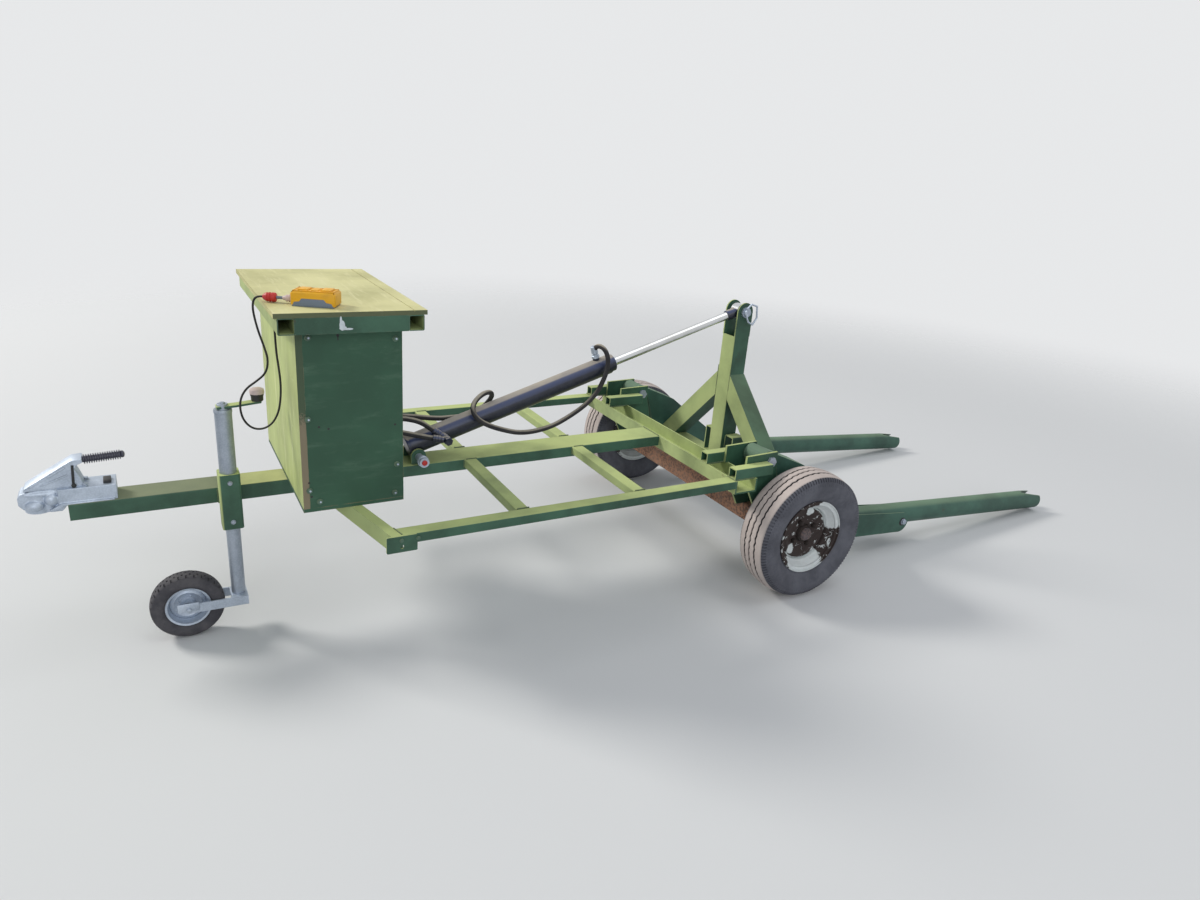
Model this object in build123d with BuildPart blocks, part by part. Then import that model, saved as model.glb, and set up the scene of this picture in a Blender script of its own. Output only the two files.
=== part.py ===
# Towed bale lifter: a light trailer whose hinged rear frame carries two round
# tines, tipped by one ram from a control box on the drawbar.
# Millimetres, +X forward to the coupling, +Y left, +Z up, ground at Z = 0.
import os
from math import asin, atan2, cos, degrees, hypot, radians, sin, tan

from build123d import *

os.makedirs("parts", exist_ok=True)

# Sides of the machine
sides = (("left", 1), ("right", -1))

# Frame
frame_top = 464
rail_outer = 555
rail_wide = 50
rail_high = 30
rail_rear = -43
rail_corner = 4
drawbar_wide = 100
drawbar_high = 50
drawbar_front = 1951
spine_front = 1050
spine_wide = 120
spine_high = 40
cross_front = 733
cross_rear = 306
cross_wide = 44
brace_front = 1290
brace_wide = 31
brace_sweep = 12.9
corner_long = 88
corner_thick = 5
corner_hole = 6
channel_deep = 95
channel_high = 50
channel_wall = 6

# Hinge brackets on the rear channel
stub_size = 40
stub_wall = 4
stub_rear = -212
inner_stub_y = 358
outer_stub_y = 527
lug_thick = 10
lug_front = -121
lug_rear = -262
lug_rise = 69
pivot_x = -233
pivot_z = 498
pivot_radius = 14
pivot_fit = 0.05
pivot_head = 20
pivot_head_thick = 9
pivot_head_gap = 1.0

# Axle and wheels
wheel_x = -343.5
wheel_y = 603
tyre_radius = 243.5
tyre_wide = 145
bead_radius = 127
rim_wide = 101.6
rim_flange_radius = 141
rim_wall = 3.2
rim_well_radius = 108
shoulder_in = 12
shoulder_drop = 8
dish_radius = 86
dish_out = 18
dish_neck = 12
axle_size = 70
axle_x = -275
axle_corner = 8
axle_over_wheel = 5
swing_thick = 16
stub_axle_radius = 20
stub_axle_fit = 0.05
hub_radius = 38
hub_flange_radius = 64
hub_flange_thick = 10
hub_inner = -58
hub_outer = 26
hub_cap_radius = 27
hub_cap_long = 22
hub_cap_face = 21.5
hub_bore_play = 4

# Lifting frame
arm_y = 442.5
arm_wide = 100
arm_wall = 5
arm_boss_radius = 34
post_front = -377
post_deep = 75
post_wide = 80
post_wall = 6
post_cut_z = 848
leg_wide = 74
leg_join_z = 689
beam_high = 80
beam_top = 318
pocket_wide = 54
pocket_high = 112
pocket_wall = 5
pocket_set_back = 18
mast_pin_z = 948
mast_pin_radius = 12.5
tine_radius = 44.45
tine_wall = 5
tine_tip_x = -2070
tine_front_x = -640
tine_slope = 4.6
tine_tip_clear = 7
tine_tip_cut = 150
tine_tip_drop = 16
trough_fit = 0.3
trough_plate = 8

# Ram, whose middle line passes over its base pin
ram_base_x = 937
ram_base_z = 490
ram_offset = 30
ram_pin_radius = 12.5
ram_radius = 36
ram_barrel_start = -20
ram_barrel_long = 815
gland_radius = 32
gland_long = 22
rod_radius = 16
rod_eye_radius = 29
rod_eye_wide = 42
base_eye_radius = 21
base_eye_wide = 60
base_lug_radius = 26
base_lug_thick = 10
base_lug_gap = 3
ram_pin_reach = 80
ram_collar_radius = 17
ram_collar_long = 32
rod_inside = 82
rod_stroke = 475
bore_spare = 8

# Hoses on the ram: distances from its base, to the left, and above its middle line
hose_radius = 9
port_radius = 13
port_high = 44
rod_port_back = 43
base_port_at = 104
nipple_radius = 11
nipple_long = 26
banjo_clear = 3
union_at = -118
union_thick = 12
union_wide = 72
union_high = 54
union_left = 3
union_up = 112
hose_slot_half = 56
hose_slot_low = 555
hose_slot_high = 74

# Coupling
ball_x = drawbar_front + 71
coupling_rear = drawbar_front - 123
coupling_wide = 84
coupling_top = 509
coupling_lip = 441
coupling_chin = (ball_x + 34, 454)
coupling_nose_low = 467
coupling_nose_high = 500
ball_z = 481
ball_radius = 25
dome_radius = 45
lever_front = ball_x + 28
lever_rear = ball_x - 114
lever_top = 588
lever_crest = (ball_x - 92, ball_x - 110)
lever_wide = 60
grip_x = ball_x - 97
grip_z = 576
grip_long = 100
grip_radius = 13
grip_tilt = 3

# Jockey wheel
jockey_ahead = 172
jockey_gap = 5
socket_size = 60
socket_wall = 5.6
socket_bottom = 348
socket_top = 526
socket_corner = 8
jockey_tube_radius = 24.15
jockey_tube_wall = 3.3
jockey_tube_bottom = 340
jockey_tube_top = 722
leg_tube_fit = 0.35
leg_tube_top = 478
jockey_radius = 105
jockey_wide = 60
jockey_trail = 146
jockey_axle_radius = 8
fork_thick = 5
fork_gap = 3
crank_long = 96
crank_rod = 6
knob_radius = 14
knob_long = 34
crown_thick = 10
crown_gap = 12
jockey_rim_radius = 63
jockey_tyre_corner = 8
jockey_tread_half = 22

# Control box
box_rear = 1070.5
box_front = 1363.5
box_half = 319
box_bottom = 475
panel_thick = 12
front_thick = 18
lid_tube = 45
lid_tube_wall = 3
lid_frame_bottom = 1000
lid_gap = 5
lid_overhang = 8.5
lid_board = 13
lid_seat = 0.3
lid_seam_at = 37
lid_seam_wide = 2
lid_seam_deep = 3
floor_thick = 11

# Handset on the lid, with a plug on its lead
handset_x = 1292.5
handset_y = 266.5
handset_turn = -27.4
handset_long = 120
handset_wide = 70
handset_base_high = 18
handset_high = 45
handset_inset = 3
handset_corner = 5
lead_up = 14
lead_radius = 3
handset_gland_long = 30
handset_gland_radius = 11
tail_long = 18
tail_radius = 4.5
plug_long = 36
plug_radius = 13
plug_lead_in = 11.5
lead_gland_radius = 8
lead_gland_long = 10
lead_end_x = 1391
lead_end_y = 170


def across(distance):
    """Section plane that looks along the machine's width, at a distance to the left."""
    return Plane.XZ.offset(-distance)


# Drawbar and spine
with BuildPart() as drawbar:
    with BuildSketch(Plane.YZ.offset(spine_front)):
        with Locations((0, frame_top - drawbar_high / 2)):
            RectangleRounded(drawbar_wide, drawbar_high, rail_corner)
    extrude(amount=drawbar_front - spine_front)
drawbar.part.label = "drawbar"
export_step(drawbar.part, "parts/drawbar.step")

with BuildPart() as spine:
    with BuildSketch(Plane.YZ.offset(rail_rear)):
        with Locations((0, frame_top - spine_high / 2)):
            RectangleRounded(spine_wide, spine_high, rail_corner)
    extrude(amount=spine_front - rail_rear)
spine.part.label = "spine"
export_step(spine.part, "parts/spine.step")

# Swept front cross members, each closed by a corner plate
rail_inner = rail_outer - rail_wide
sweep_run = tan(radians(brace_sweep))
brace_along = brace_wide / cos(radians(brace_sweep))


def brace_edge(distance):
    """Front edge of the swept cross member at a distance from the middle."""
    return brace_front - (distance - drawbar_wide / 2) * sweep_run


corner_front = brace_edge(rail_outer) + brace_along / 2
with BuildPart() as front_cross_members:
    with BuildSketch(Plane.XY.offset(frame_top - drawbar_high)):
        with BuildLine():
            Polyline(
                (brace_edge(drawbar_wide / 2), drawbar_wide / 2),
                (brace_edge(rail_outer), rail_outer),
                (brace_edge(rail_outer) - brace_along, rail_outer),
                (brace_edge(drawbar_wide / 2) - brace_along, drawbar_wide / 2),
                close=True,
            )
        make_face()
    extrude(amount=drawbar_high)
    with BuildSketch(across(rail_outer + corner_thick)):
        with Locations((corner_front - corner_long / 2, frame_top - drawbar_high / 2)):
            RectangleRounded(corner_long, drawbar_high, rail_corner)
            with Locations((0, -drawbar_high / 6)):
                Circle(corner_hole, mode=Mode.SUBTRACT)
    extrude(amount=corner_thick)
    mirror(about=Plane.XZ)
front_cross_members.part.label = "front_cross_members"
export_step(front_cross_members.part, "parts/front_cross_members.step")

# Side rails, mitred to the swept cross members
for name, side in sides:
    with BuildPart() as rail:
        with BuildSketch(Plane.XY.offset(frame_top - rail_high)):
            with BuildLine():
                Polyline(
                    (rail_rear, side * rail_inner),
                    (brace_edge(rail_inner) - brace_along, side * rail_inner),
                    (brace_edge(rail_outer) - brace_along, side * rail_outer),
                    (rail_rear, side * rail_outer),
                    close=True,
                )
            make_face()
        extrude(amount=rail_high)
        long_edges = rail.edges().filter_by(Axis.X)
        fillet(long_edges, radius=rail_corner)
    rail.part.label = f"{name}_rail"
    export_step(rail.part, f"parts/{name}_rail.step")

# Cross members between the spine and the rails
cross_span = rail_inner - spine_wide / 2
with BuildPart() as cross_members:
    for station in (cross_front, cross_rear):
        for name, side in sides:
            with BuildSketch(across(side * (spine_wide / 2 + cross_span / 2))):
                with Locations((station + cross_wide / 2, frame_top - rail_high / 2)):
                    RectangleRounded(cross_wide, rail_high, rail_corner)
            extrude(amount=cross_span / 2, both=True)
cross_members.part.label = "cross_members"
export_step(cross_members.part, "parts/cross_members.step")

# Rear channel, open upward, that closes the frame
channel_front = rail_rear
channel_rear = channel_front - channel_deep
channel_bottom = frame_top - channel_high
with BuildPart() as rear_channel:
    with BuildSketch(Plane.XZ):
        with Locations((channel_front - channel_deep / 2, channel_bottom + channel_high / 2)):
            Rectangle(channel_deep, channel_high)
            with Locations((0, channel_wall)):
                Rectangle(channel_deep - 2 * channel_wall, channel_high, mode=Mode.SUBTRACT)
    extrude(amount=rail_outer, both=True)
rear_channel.part.label = "rear_channel"
export_step(rear_channel.part, "parts/rear_channel.step")

# Axle beam and its height under the frame
wheel_z = tyre_radius
axle_top = wheel_z + axle_size / 2 + axle_over_wheel
inner_lug_y = inner_stub_y + stub_size / 2 + lug_thick / 2
outer_lug_y = outer_stub_y - stub_size / 2 - lug_thick / 2
axle_end = outer_lug_y + lug_thick / 2
with BuildPart() as axle_beam:
    with BuildSketch(Plane.XZ):
        with Locations((axle_x, axle_top - axle_size / 2)):
            RectangleRounded(axle_size, axle_size, axle_corner)
    extrude(amount=axle_end, both=True)
axle_beam.part.label = "axle_beam"
export_step(axle_beam.part, "parts/axle_beam.step")

# Hinge brackets: an open stub tube with a lug plate that also carries the axle
lug_top = frame_top + lug_rise
stub_long = rail_rear - stub_rear
for name, side in sides:
    for place, stub_y, lug_y in (
        ("inner", inner_stub_y, inner_lug_y),
        ("outer", outer_stub_y, outer_lug_y),
    ):
        with BuildPart() as bracket:
            with BuildSketch(Plane.YZ.offset(stub_rear)):
                with Locations((side * stub_y, frame_top + stub_size / 2)):
                    RectangleRounded(stub_size, stub_size, rail_corner)
                    inner_size = stub_size - 2 * stub_wall
                    Rectangle(inner_size, inner_size, mode=Mode.SUBTRACT)
            extrude(amount=stub_long)
            with BuildSketch(across(side * lug_y)):
                with BuildLine():
                    Polyline(
                        (lug_front, frame_top),
                        (lug_front, lug_top - stub_wall),
                        (lug_rear, lug_top),
                        (lug_rear, pivot_z - pivot_head),
                        (axle_x - axle_size / 2, axle_top),
                        (axle_x + axle_size, axle_top),
                        (channel_rear, channel_bottom),
                        (channel_rear, frame_top),
                        close=True,
                    )
                make_face()
            extrude(amount=lug_thick / 2, both=True)
            with BuildSketch(across(side * lug_y)):
                with Locations((pivot_x, pivot_z)):
                    Circle(pivot_radius + pivot_fit)
            extrude(amount=lug_thick, both=True, mode=Mode.SUBTRACT)
        bracket.part.label = f"{name}_{place}_bracket"
        export_step(bracket.part, f"parts/{name}_{place}_bracket.step")

# Pivot pins, headed at both ends
pin_inner = inner_lug_y - lug_thick / 2 - pivot_head_gap
pin_outer = outer_lug_y + lug_thick / 2 + pivot_head_gap
with BuildPart() as pivot_pins:
    with BuildSketch(across((pin_inner + pin_outer) / 2)):
        with Locations((pivot_x, pivot_z)):
            Circle(pivot_radius)
    extrude(amount=(pin_outer - pin_inner) / 2 + pivot_head_thick, both=True)
    for face_y in (pin_inner - pivot_head_thick / 2, pin_outer + pivot_head_thick / 2):
        with BuildSketch(across(face_y)):
            with Locations((pivot_x, pivot_z)):
                RegularPolygon(pivot_head, 6)
        extrude(amount=pivot_head_thick / 2, both=True)
    mirror(about=Plane.XZ)
pivot_pins.part.label = "pivot_pins"
export_step(pivot_pins.part, "parts/pivot_pins.step")

# Trailing arms with the stub axles
swing_y = axle_end + swing_thick / 2
stub_axle_end = wheel_y + hub_outer - hub_cap_long / 2
with BuildPart() as axle_arms:
    with BuildSketch(across(swing_y)):
        with BuildLine():
            Polyline(
                (axle_x + axle_size / 2, axle_top),
                (axle_x - axle_size / 2, axle_top),
                (wheel_x - axle_size / 4, wheel_z + axle_size / 2),
                (wheel_x - axle_size / 2, wheel_z),
                (wheel_x - axle_size / 4, wheel_z - axle_size / 2),
                (axle_x + axle_size / 2, axle_top - axle_size),
                close=True,
            )
        make_face()
        fillet(vertices(), radius=axle_corner)
    extrude(amount=swing_thick / 2, both=True)
    with BuildSketch(across(stub_axle_end)):
        with Locations((wheel_x, wheel_z)):
            Circle(stub_axle_radius)
    extrude(amount=stub_axle_end - swing_y)
    mirror(about=Plane.XZ)
axle_arms.part.label = "axle_arms"
export_step(axle_arms.part, "parts/axle_arms.step")

# Wheels: tyre, pressed rim and hub, each in the wheel's own section plane
tread_grooves = (-26, 0, 26)
groove_wide = 6
groove_deep = 7
for name, side in sides:
    middle = Vector(wheel_x, side * wheel_y, wheel_z)
    section = Plane(origin=middle, x_dir=(0, side, 0), z_dir=(1, 0, 0))
    spin_axis = Axis(middle, (0, 1, 0))
    bead_half = rim_wide / 2
    bulge_half = tyre_wide / 2
    shoulder_half = bulge_half - shoulder_in
    shoulder_radius = tyre_radius - shoulder_drop
    bulge_radius = (bead_radius + tyre_radius) / 2
    with BuildPart() as tyre:
        with BuildSketch(section):
            with BuildLine():
                Line((-bead_half, bead_radius), (bead_half, bead_radius))
                Line((bead_half, bead_radius), (bead_half, rim_flange_radius))
                ThreePointArc(
                    (bead_half, rim_flange_radius),
                    (bulge_half, bulge_radius),
                    (shoulder_half, shoulder_radius),
                )
                ThreePointArc(
                    (shoulder_half, shoulder_radius),
                    (0, tyre_radius),
                    (-shoulder_half, shoulder_radius),
                )
                ThreePointArc(
                    (-shoulder_half, shoulder_radius),
                    (-bulge_half, bulge_radius),
                    (-bead_half, rim_flange_radius),
                )
                Line((-bead_half, rim_flange_radius), (-bead_half, bead_radius))
            make_face()
            with Locations([(place, tyre_radius) for place in tread_grooves]):
                Rectangle(groove_wide, 2 * groove_deep, mode=Mode.SUBTRACT)
        revolve(axis=spin_axis)
    tyre.part.label = f"{name}_tyre"
    export_step(tyre.part, f"parts/{name}_tyre.step")

    flange_half = bead_half + rim_wall
    well_half = bead_half / 2 - rim_wall
    seat_half = well_half + (bead_radius - rim_well_radius) / 2
    with BuildPart() as rim:
        with BuildSketch(section):
            with BuildLine():
                Polyline(
                    (-flange_half, rim_flange_radius),
                    (-bead_half, rim_flange_radius),
                    (-bead_half, bead_radius),
                    (-seat_half, bead_radius),
                    (-well_half, rim_well_radius),
                    (well_half, rim_well_radius),
                    (seat_half, bead_radius),
                    (bead_half, bead_radius),
                    (bead_half, rim_flange_radius),
                    (flange_half, rim_flange_radius),
                    (flange_half, bead_radius - rim_wall),
                    (seat_half + rim_wall, bead_radius - rim_wall),
                    (well_half + rim_wall, rim_well_radius - rim_wall),
                    (-well_half - rim_wall, rim_well_radius - rim_wall),
                    (-seat_half - rim_wall, bead_radius - rim_wall),
                    (-flange_half, bead_radius - rim_wall),
                    close=True,
                )
            make_face()
            with BuildLine():
                Polyline(
                    (0, rim_well_radius - rim_wall),
                    (rim_wall, rim_well_radius - rim_wall),
                    (dish_out + rim_wall, dish_radius),
                    (dish_out + rim_wall, hub_flange_radius + dish_neck),
                    (rim_wall + hub_flange_thick, hub_flange_radius),
                    (rim_wall + hub_flange_thick, hub_cap_radius + rim_wall),
                    (hub_flange_thick, hub_cap_radius + rim_wall),
                    (hub_flange_thick, hub_flange_radius),
                    (dish_out, hub_flange_radius + dish_neck),
                    (dish_out, dish_radius - rim_wall),
                    close=True,
                )
            make_face()
        revolve(axis=spin_axis)
    rim.part.label = f"{name}_rim"
    export_step(rim.part, f"parts/{name}_rim.step")

    bore_radius = stub_axle_radius + stub_axle_fit
    bore_end = stub_axle_end - wheel_y + hub_bore_play
    with BuildPart() as hub:
        with BuildSketch(section):
            with BuildLine():
                Polyline(
                    (hub_inner, bore_radius),
                    (hub_inner, hub_radius),
                    (0, hub_radius),
                    (0, hub_flange_radius),
                    (hub_flange_thick, hub_flange_radius),
                    (hub_flange_thick, hub_cap_radius),
                    (hub_outer, hub_cap_radius),
                    (hub_outer + hub_cap_long / 2, hub_cap_face),
                    (hub_outer + hub_cap_long / 2, 0),
                    (bore_end, 0),
                    (bore_end, bore_radius),
                    close=True,
                )
            make_face()
        revolve(axis=spin_axis)
    hub.part.label = f"{name}_hub"
    export_step(hub.part, f"parts/{name}_hub.step")

# Tine line in side view, set so that the tip just clears the ground
tine_rise = tan(radians(tine_slope))
tine_tip_z = tine_tip_clear + tine_radius / cos(radians(tine_slope))


def tine_height(at):
    """Height of the tine's middle line at one x."""
    return tine_tip_z + (at - tine_tip_x) * tine_rise


def tine_top(at):
    """Height of the tine's upper edge at one x."""
    return tine_height(at) + tine_radius / cos(radians(tine_slope))


def trough_floor(at):
    """Height of the trough's floor, under the tine, at one x."""
    return tine_height(at) - (tine_radius + trough_fit) / cos(radians(tine_slope))


# Arms: box plates from the pivot down and back to a trough that holds the tine
arm_knee = (-420, 455)
arm_dip_x = -771
arm_end_x = -1048
arm_plate_half = 45
arm_drop = 22
arm_belly = (-365, 213)
arm_brow = 12
arm_dip_top = tine_height(arm_dip_x) - arm_drop + arm_plate_half + arm_brow
arm_end_z = tine_height(arm_end_x) - arm_drop
arm_dip_bottom = tine_height(arm_dip_x) - arm_drop - arm_plate_half
trough_front_x = tine_front_x + tine_radius * sin(radians(tine_slope)) + trough_fit
trough_wide = arm_wide - 2 * arm_wall
for name, side in sides:
    with BuildPart() as arm:
        with BuildSketch(across(side * arm_y)) as arm_outline:
            with BuildLine():
                Polyline(
                    (pivot_x, pivot_z + arm_boss_radius),
                    arm_knee,
                    (arm_dip_x, arm_dip_top),
                    (arm_end_x, arm_end_z + arm_plate_half),
                )
                ThreePointArc(
                    (arm_end_x, arm_end_z + arm_plate_half),
                    (arm_end_x - arm_plate_half, arm_end_z),
                    (arm_end_x, arm_end_z - arm_plate_half),
                )
                Polyline(
                    (arm_end_x, arm_end_z - arm_plate_half),
                    (arm_dip_x, arm_dip_bottom),
                    arm_belly,
                    (pivot_x - arm_boss_radius, pivot_z),
                    (pivot_x, pivot_z + arm_boss_radius),
                )
            make_face()
        extrude(amount=arm_wide / 2, both=True)
        with BuildSketch(across(side * arm_y)):
            add(arm_outline.sketch_local)
            offset(amount=-arm_wall, mode=Mode.REPLACE)
        extrude(amount=trough_wide / 2, both=True, mode=Mode.SUBTRACT)
        with BuildSketch(across(side * arm_y)):
            with Locations((pivot_x, pivot_z)):
                Circle(arm_boss_radius)
        extrude(amount=arm_wide / 2, both=True)
        with BuildSketch(across(side * arm_y)):
            with BuildLine():
                Polyline(
                    (trough_front_x, trough_floor(trough_front_x)),
                    (arm_end_x - arm_wide, trough_floor(arm_end_x - arm_wide)),
                    (arm_end_x - arm_wide, arm_knee[1]),
                    (trough_front_x, arm_knee[1]),
                    close=True,
                )
            make_face()
        extrude(amount=trough_wide / 2, both=True, mode=Mode.SUBTRACT)
        with BuildSketch(across(side * arm_y)):
            with BuildLine():
                Polyline(
                    (trough_front_x, trough_floor(trough_front_x)),
                    (arm_end_x, trough_floor(arm_end_x)),
                    (arm_end_x, trough_floor(arm_end_x) - trough_plate),
                    (trough_front_x, trough_floor(trough_front_x) - trough_plate),
                    close=True,
                )
            make_face()
        extrude(amount=trough_wide / 2, both=True)
        with BuildSketch(across(side * arm_y)):
            with Locations((pivot_x, pivot_z)):
                Circle(pivot_radius + pivot_fit)
        extrude(amount=arm_wide, both=True, mode=Mode.SUBTRACT)
    arm.part.label = f"{name}_arm"
    export_step(arm.part, f"parts/{name}_arm.step")

# Tines: round tubes in the troughs, with a shallow taper on top at the tip
tine_long = (tine_front_x - tine_tip_x) / cos(radians(tine_slope))
taper_start = tine_tip_x + tine_tip_cut
taper_end = tine_tip_x - 2 * tine_radius
taper_fall = tine_tip_drop * (taper_start - taper_end) / tine_tip_cut
for name, side in sides:
    root = Plane(
        origin=(tine_front_x, side * arm_y, tine_height(tine_front_x)),
        x_dir=(0, 1, 0),
        z_dir=(-cos(radians(tine_slope)), 0, -sin(radians(tine_slope))),
    )
    with BuildPart() as tine:
        with BuildSketch(root):
            Circle(tine_radius)
            Circle(tine_radius - tine_wall, mode=Mode.SUBTRACT)
        extrude(amount=tine_long)
        with BuildSketch(across(side * arm_y)):
            with BuildLine():
                Polyline(
                    (taper_start, tine_top(taper_start)),
                    (taper_end, tine_top(taper_end) - taper_fall),
                    (taper_end, tine_top(taper_start)),
                    close=True,
                )
            make_face()
        extrude(amount=2 * tine_radius, both=True, mode=Mode.SUBTRACT)
    tine.part.label = f"{name}_tine"
    export_step(tine.part, f"parts/{name}_tine.step")

# Lifter cross beam between the arms
post_x = post_front - post_deep / 2
arm_inner = arm_y - arm_wide / 2
with BuildPart() as lifter_beam:
    with BuildSketch(Plane.XZ):
        with Locations((post_x, beam_top - beam_high / 2)):
            RectangleRounded(post_deep, beam_high, rail_corner)
    extrude(amount=arm_inner, both=True)
lifter_beam.part.label = "lifter_beam"
export_step(lifter_beam.part, "parts/lifter_beam.step")

# Mast post: a square tube whose side walls rise past the cut as rounded ears
with BuildPart() as mast_post:
    with BuildSketch(Plane.XY.offset(beam_top)):
        with Locations((post_x, 0)):
            RectangleRounded(post_deep, post_wide, rail_corner)
            inner_size = (post_deep - 2 * post_wall, post_wide - 2 * post_wall)
            Rectangle(*inner_size, mode=Mode.SUBTRACT)
    extrude(amount=post_cut_z - beam_top)
    for side_y in (post_wide / 2 - post_wall / 2, post_wall / 2 - post_wide / 2):
        with BuildSketch(across(side_y)):
            with Locations((post_x, (post_cut_z + mast_pin_z) / 2)):
                Rectangle(post_deep, mast_pin_z - post_cut_z)
            with Locations((post_x, mast_pin_z)):
                Circle(post_deep / 2)
        extrude(amount=post_wall / 2, both=True)
    with BuildSketch(Plane.XZ):
        with Locations((post_x, mast_pin_z)):
            Circle(mast_pin_radius)
    extrude(amount=post_wide, both=True, mode=Mode.SUBTRACT)
mast_post.part.label = "mast_post"
export_step(mast_post.part, "parts/mast_post.step")

# Diagonal legs from the post to the beam and the arms
leg_drop = leg_wide * 2**0.5
leg_inner = post_wide / 2
with BuildPart() as mast_legs:
    with BuildSketch(Plane.YZ.offset(post_front - post_deep)):
        with BuildLine():
            Polyline(
                (leg_inner, leg_join_z),
                (arm_inner, leg_join_z - (arm_inner - leg_inner)),
                (arm_inner, beam_top),
                (leg_inner + leg_join_z - leg_drop - beam_top, beam_top),
                (leg_inner, leg_join_z - leg_drop),
                close=True,
            )
        make_face()
    extrude(amount=post_deep)
    mirror(about=Plane.XZ)
mast_legs.part.label = "mast_legs"
export_step(mast_legs.part, "parts/mast_legs.step")

# Open pockets on the beam at each side of the post
pocket_long = post_deep - pocket_set_back
with BuildPart() as mast_pockets:
    with BuildSketch(Plane.YZ.offset(post_front - post_deep)):
        with Locations((post_wide / 2 + pocket_wide / 2, beam_top + pocket_high / 2)):
            RectangleRounded(pocket_wide, pocket_high, 2 * rail_corner)
            inner_size = (pocket_wide - 2 * pocket_wall, pocket_high - 2 * pocket_wall)
            RectangleRounded(*inner_size, rail_corner, mode=Mode.SUBTRACT)
    extrude(amount=pocket_long)
    mirror(about=Plane.XZ)
mast_pockets.part.label = "mast_pockets"
export_step(mast_pockets.part, "parts/mast_pockets.step")

# Mast pin in the ears, open between them where the rod eye lies
pin_head_thick = 8
pin_head_radius = 21
ear_inner = post_wide / 2 - post_wall
with BuildPart() as mast_pin:
    with BuildSketch(across(ear_inner)):
        with Locations((post_x, mast_pin_z)):
            Circle(mast_pin_radius)
    extrude(amount=-post_wall - pin_head_thick)
    with BuildSketch(across(post_wide / 2)):
        with Locations((post_x, mast_pin_z)):
            Circle(pin_head_radius)
    extrude(amount=-pin_head_thick)
    mirror(about=Plane.XZ)
mast_pin.part.label = "mast_pin"
export_step(mast_pin.part, "parts/mast_pin.step")

# Ram: barrel and rod on one slanted line to the mast pin, with the base pin under it
ram_run = ram_base_x - post_x
ram_rise = mast_pin_z - ram_base_z
pin_distance = hypot(ram_run, ram_rise)
ram_length = (pin_distance**2 - ram_offset**2) ** 0.5
ram_slope = atan2(ram_rise, ram_run) - asin(ram_offset / pin_distance)
ram_way = Vector(-cos(ram_slope), 0, sin(ram_slope))
ram_up = Vector(sin(ram_slope), 0, cos(ram_slope))
ram_foot = Vector(ram_base_x, 0, ram_base_z) + ram_up * ram_offset


def ram_point(distance, left, up):
    """Point from its distance along the ram, to the left and above its middle line."""
    return ram_foot + ram_way * distance + Vector(0, left, 0) + ram_up * up


def ram_section(distance):
    """Section square to the ram, upright, at a distance from its foot."""
    return Plane(origin=ram_point(distance, 0, 0), x_dir=(0, -1, 0), z_dir=ram_way)


barrel_end = ram_barrel_start + ram_barrel_long
rod_port_at = barrel_end - rod_port_back
with BuildPart() as ram_barrel:
    with BuildSketch(across(0)):
        with Locations((ram_base_x, ram_base_z)):
            Circle(base_eye_radius)
        with Locations(((ram_base_x + ram_foot.X) / 2, (ram_base_z + ram_foot.Z) / 2)):
            Rectangle(2 * base_eye_radius, ram_offset, rotation=-degrees(ram_slope))
    extrude(amount=base_eye_wide / 2, both=True)
    with BuildSketch(ram_section(ram_barrel_start)):
        Circle(ram_radius)
    extrude(amount=ram_barrel_long)
    with BuildSketch(ram_section(barrel_end)):
        Circle(gland_radius)
    extrude(amount=gland_long)
    with BuildSketch(Plane(origin=ram_point(rod_port_at, 0, 0), z_dir=ram_up)):
        Circle(port_radius)
    extrude(amount=port_high)
    with BuildSketch(Plane(origin=ram_point(base_port_at, 0, 0), z_dir=(0, 1, 0))):
        Circle(port_radius)
    extrude(amount=port_high)
    with BuildSketch(ram_section(barrel_end + gland_long)):
        Circle(rod_radius + pivot_fit)
    extrude(amount=-rod_inside - rod_stroke - bore_spare, mode=Mode.SUBTRACT)
    with BuildSketch(across(0)):
        with Locations((ram_base_x, ram_base_z)):
            Circle(ram_pin_radius + pivot_fit)
    extrude(amount=base_eye_wide, both=True, mode=Mode.SUBTRACT)
ram_barrel.part.label = "ram_barrel"
export_step(ram_barrel.part, "parts/ram_barrel.step")

with BuildPart() as ram_rod:
    with BuildSketch(ram_section(barrel_end + gland_long - rod_inside)):
        Circle(rod_radius)
    extrude(amount=ram_length - barrel_end - gland_long + rod_inside - rod_eye_radius / 2)
    with BuildSketch(across(0)):
        with Locations((post_x, mast_pin_z)):
            Circle(rod_eye_radius)
    extrude(amount=rod_eye_wide / 2, both=True)
ram_rod.part.label = "ram_rod"
export_step(ram_rod.part, "parts/ram_rod.step")

# Ram base: two lugs on the spine and a long pin with a collar at its left end
lug_inside = ram_radius + base_lug_gap
with BuildPart() as ram_lugs:
    with BuildSketch(across(lug_inside + base_lug_thick)):
        with BuildLine():
            Polyline(
                (ram_base_x - base_lug_radius, ram_base_z),
                (ram_base_x - base_lug_radius, frame_top),
                (ram_base_x + base_lug_radius, frame_top),
                (ram_base_x + base_lug_radius, ram_base_z),
            )
            ThreePointArc(
                (ram_base_x + base_lug_radius, ram_base_z),
                (ram_base_x, ram_base_z + base_lug_radius),
                (ram_base_x - base_lug_radius, ram_base_z),
            )
        make_face()
        with Locations((ram_base_x, ram_base_z)):
            Circle(ram_pin_radius, mode=Mode.SUBTRACT)
    extrude(amount=base_lug_thick)
    mirror(about=Plane.XZ)
ram_lugs.part.label = "ram_lugs"
export_step(ram_lugs.part, "parts/ram_lugs.step")

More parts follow.
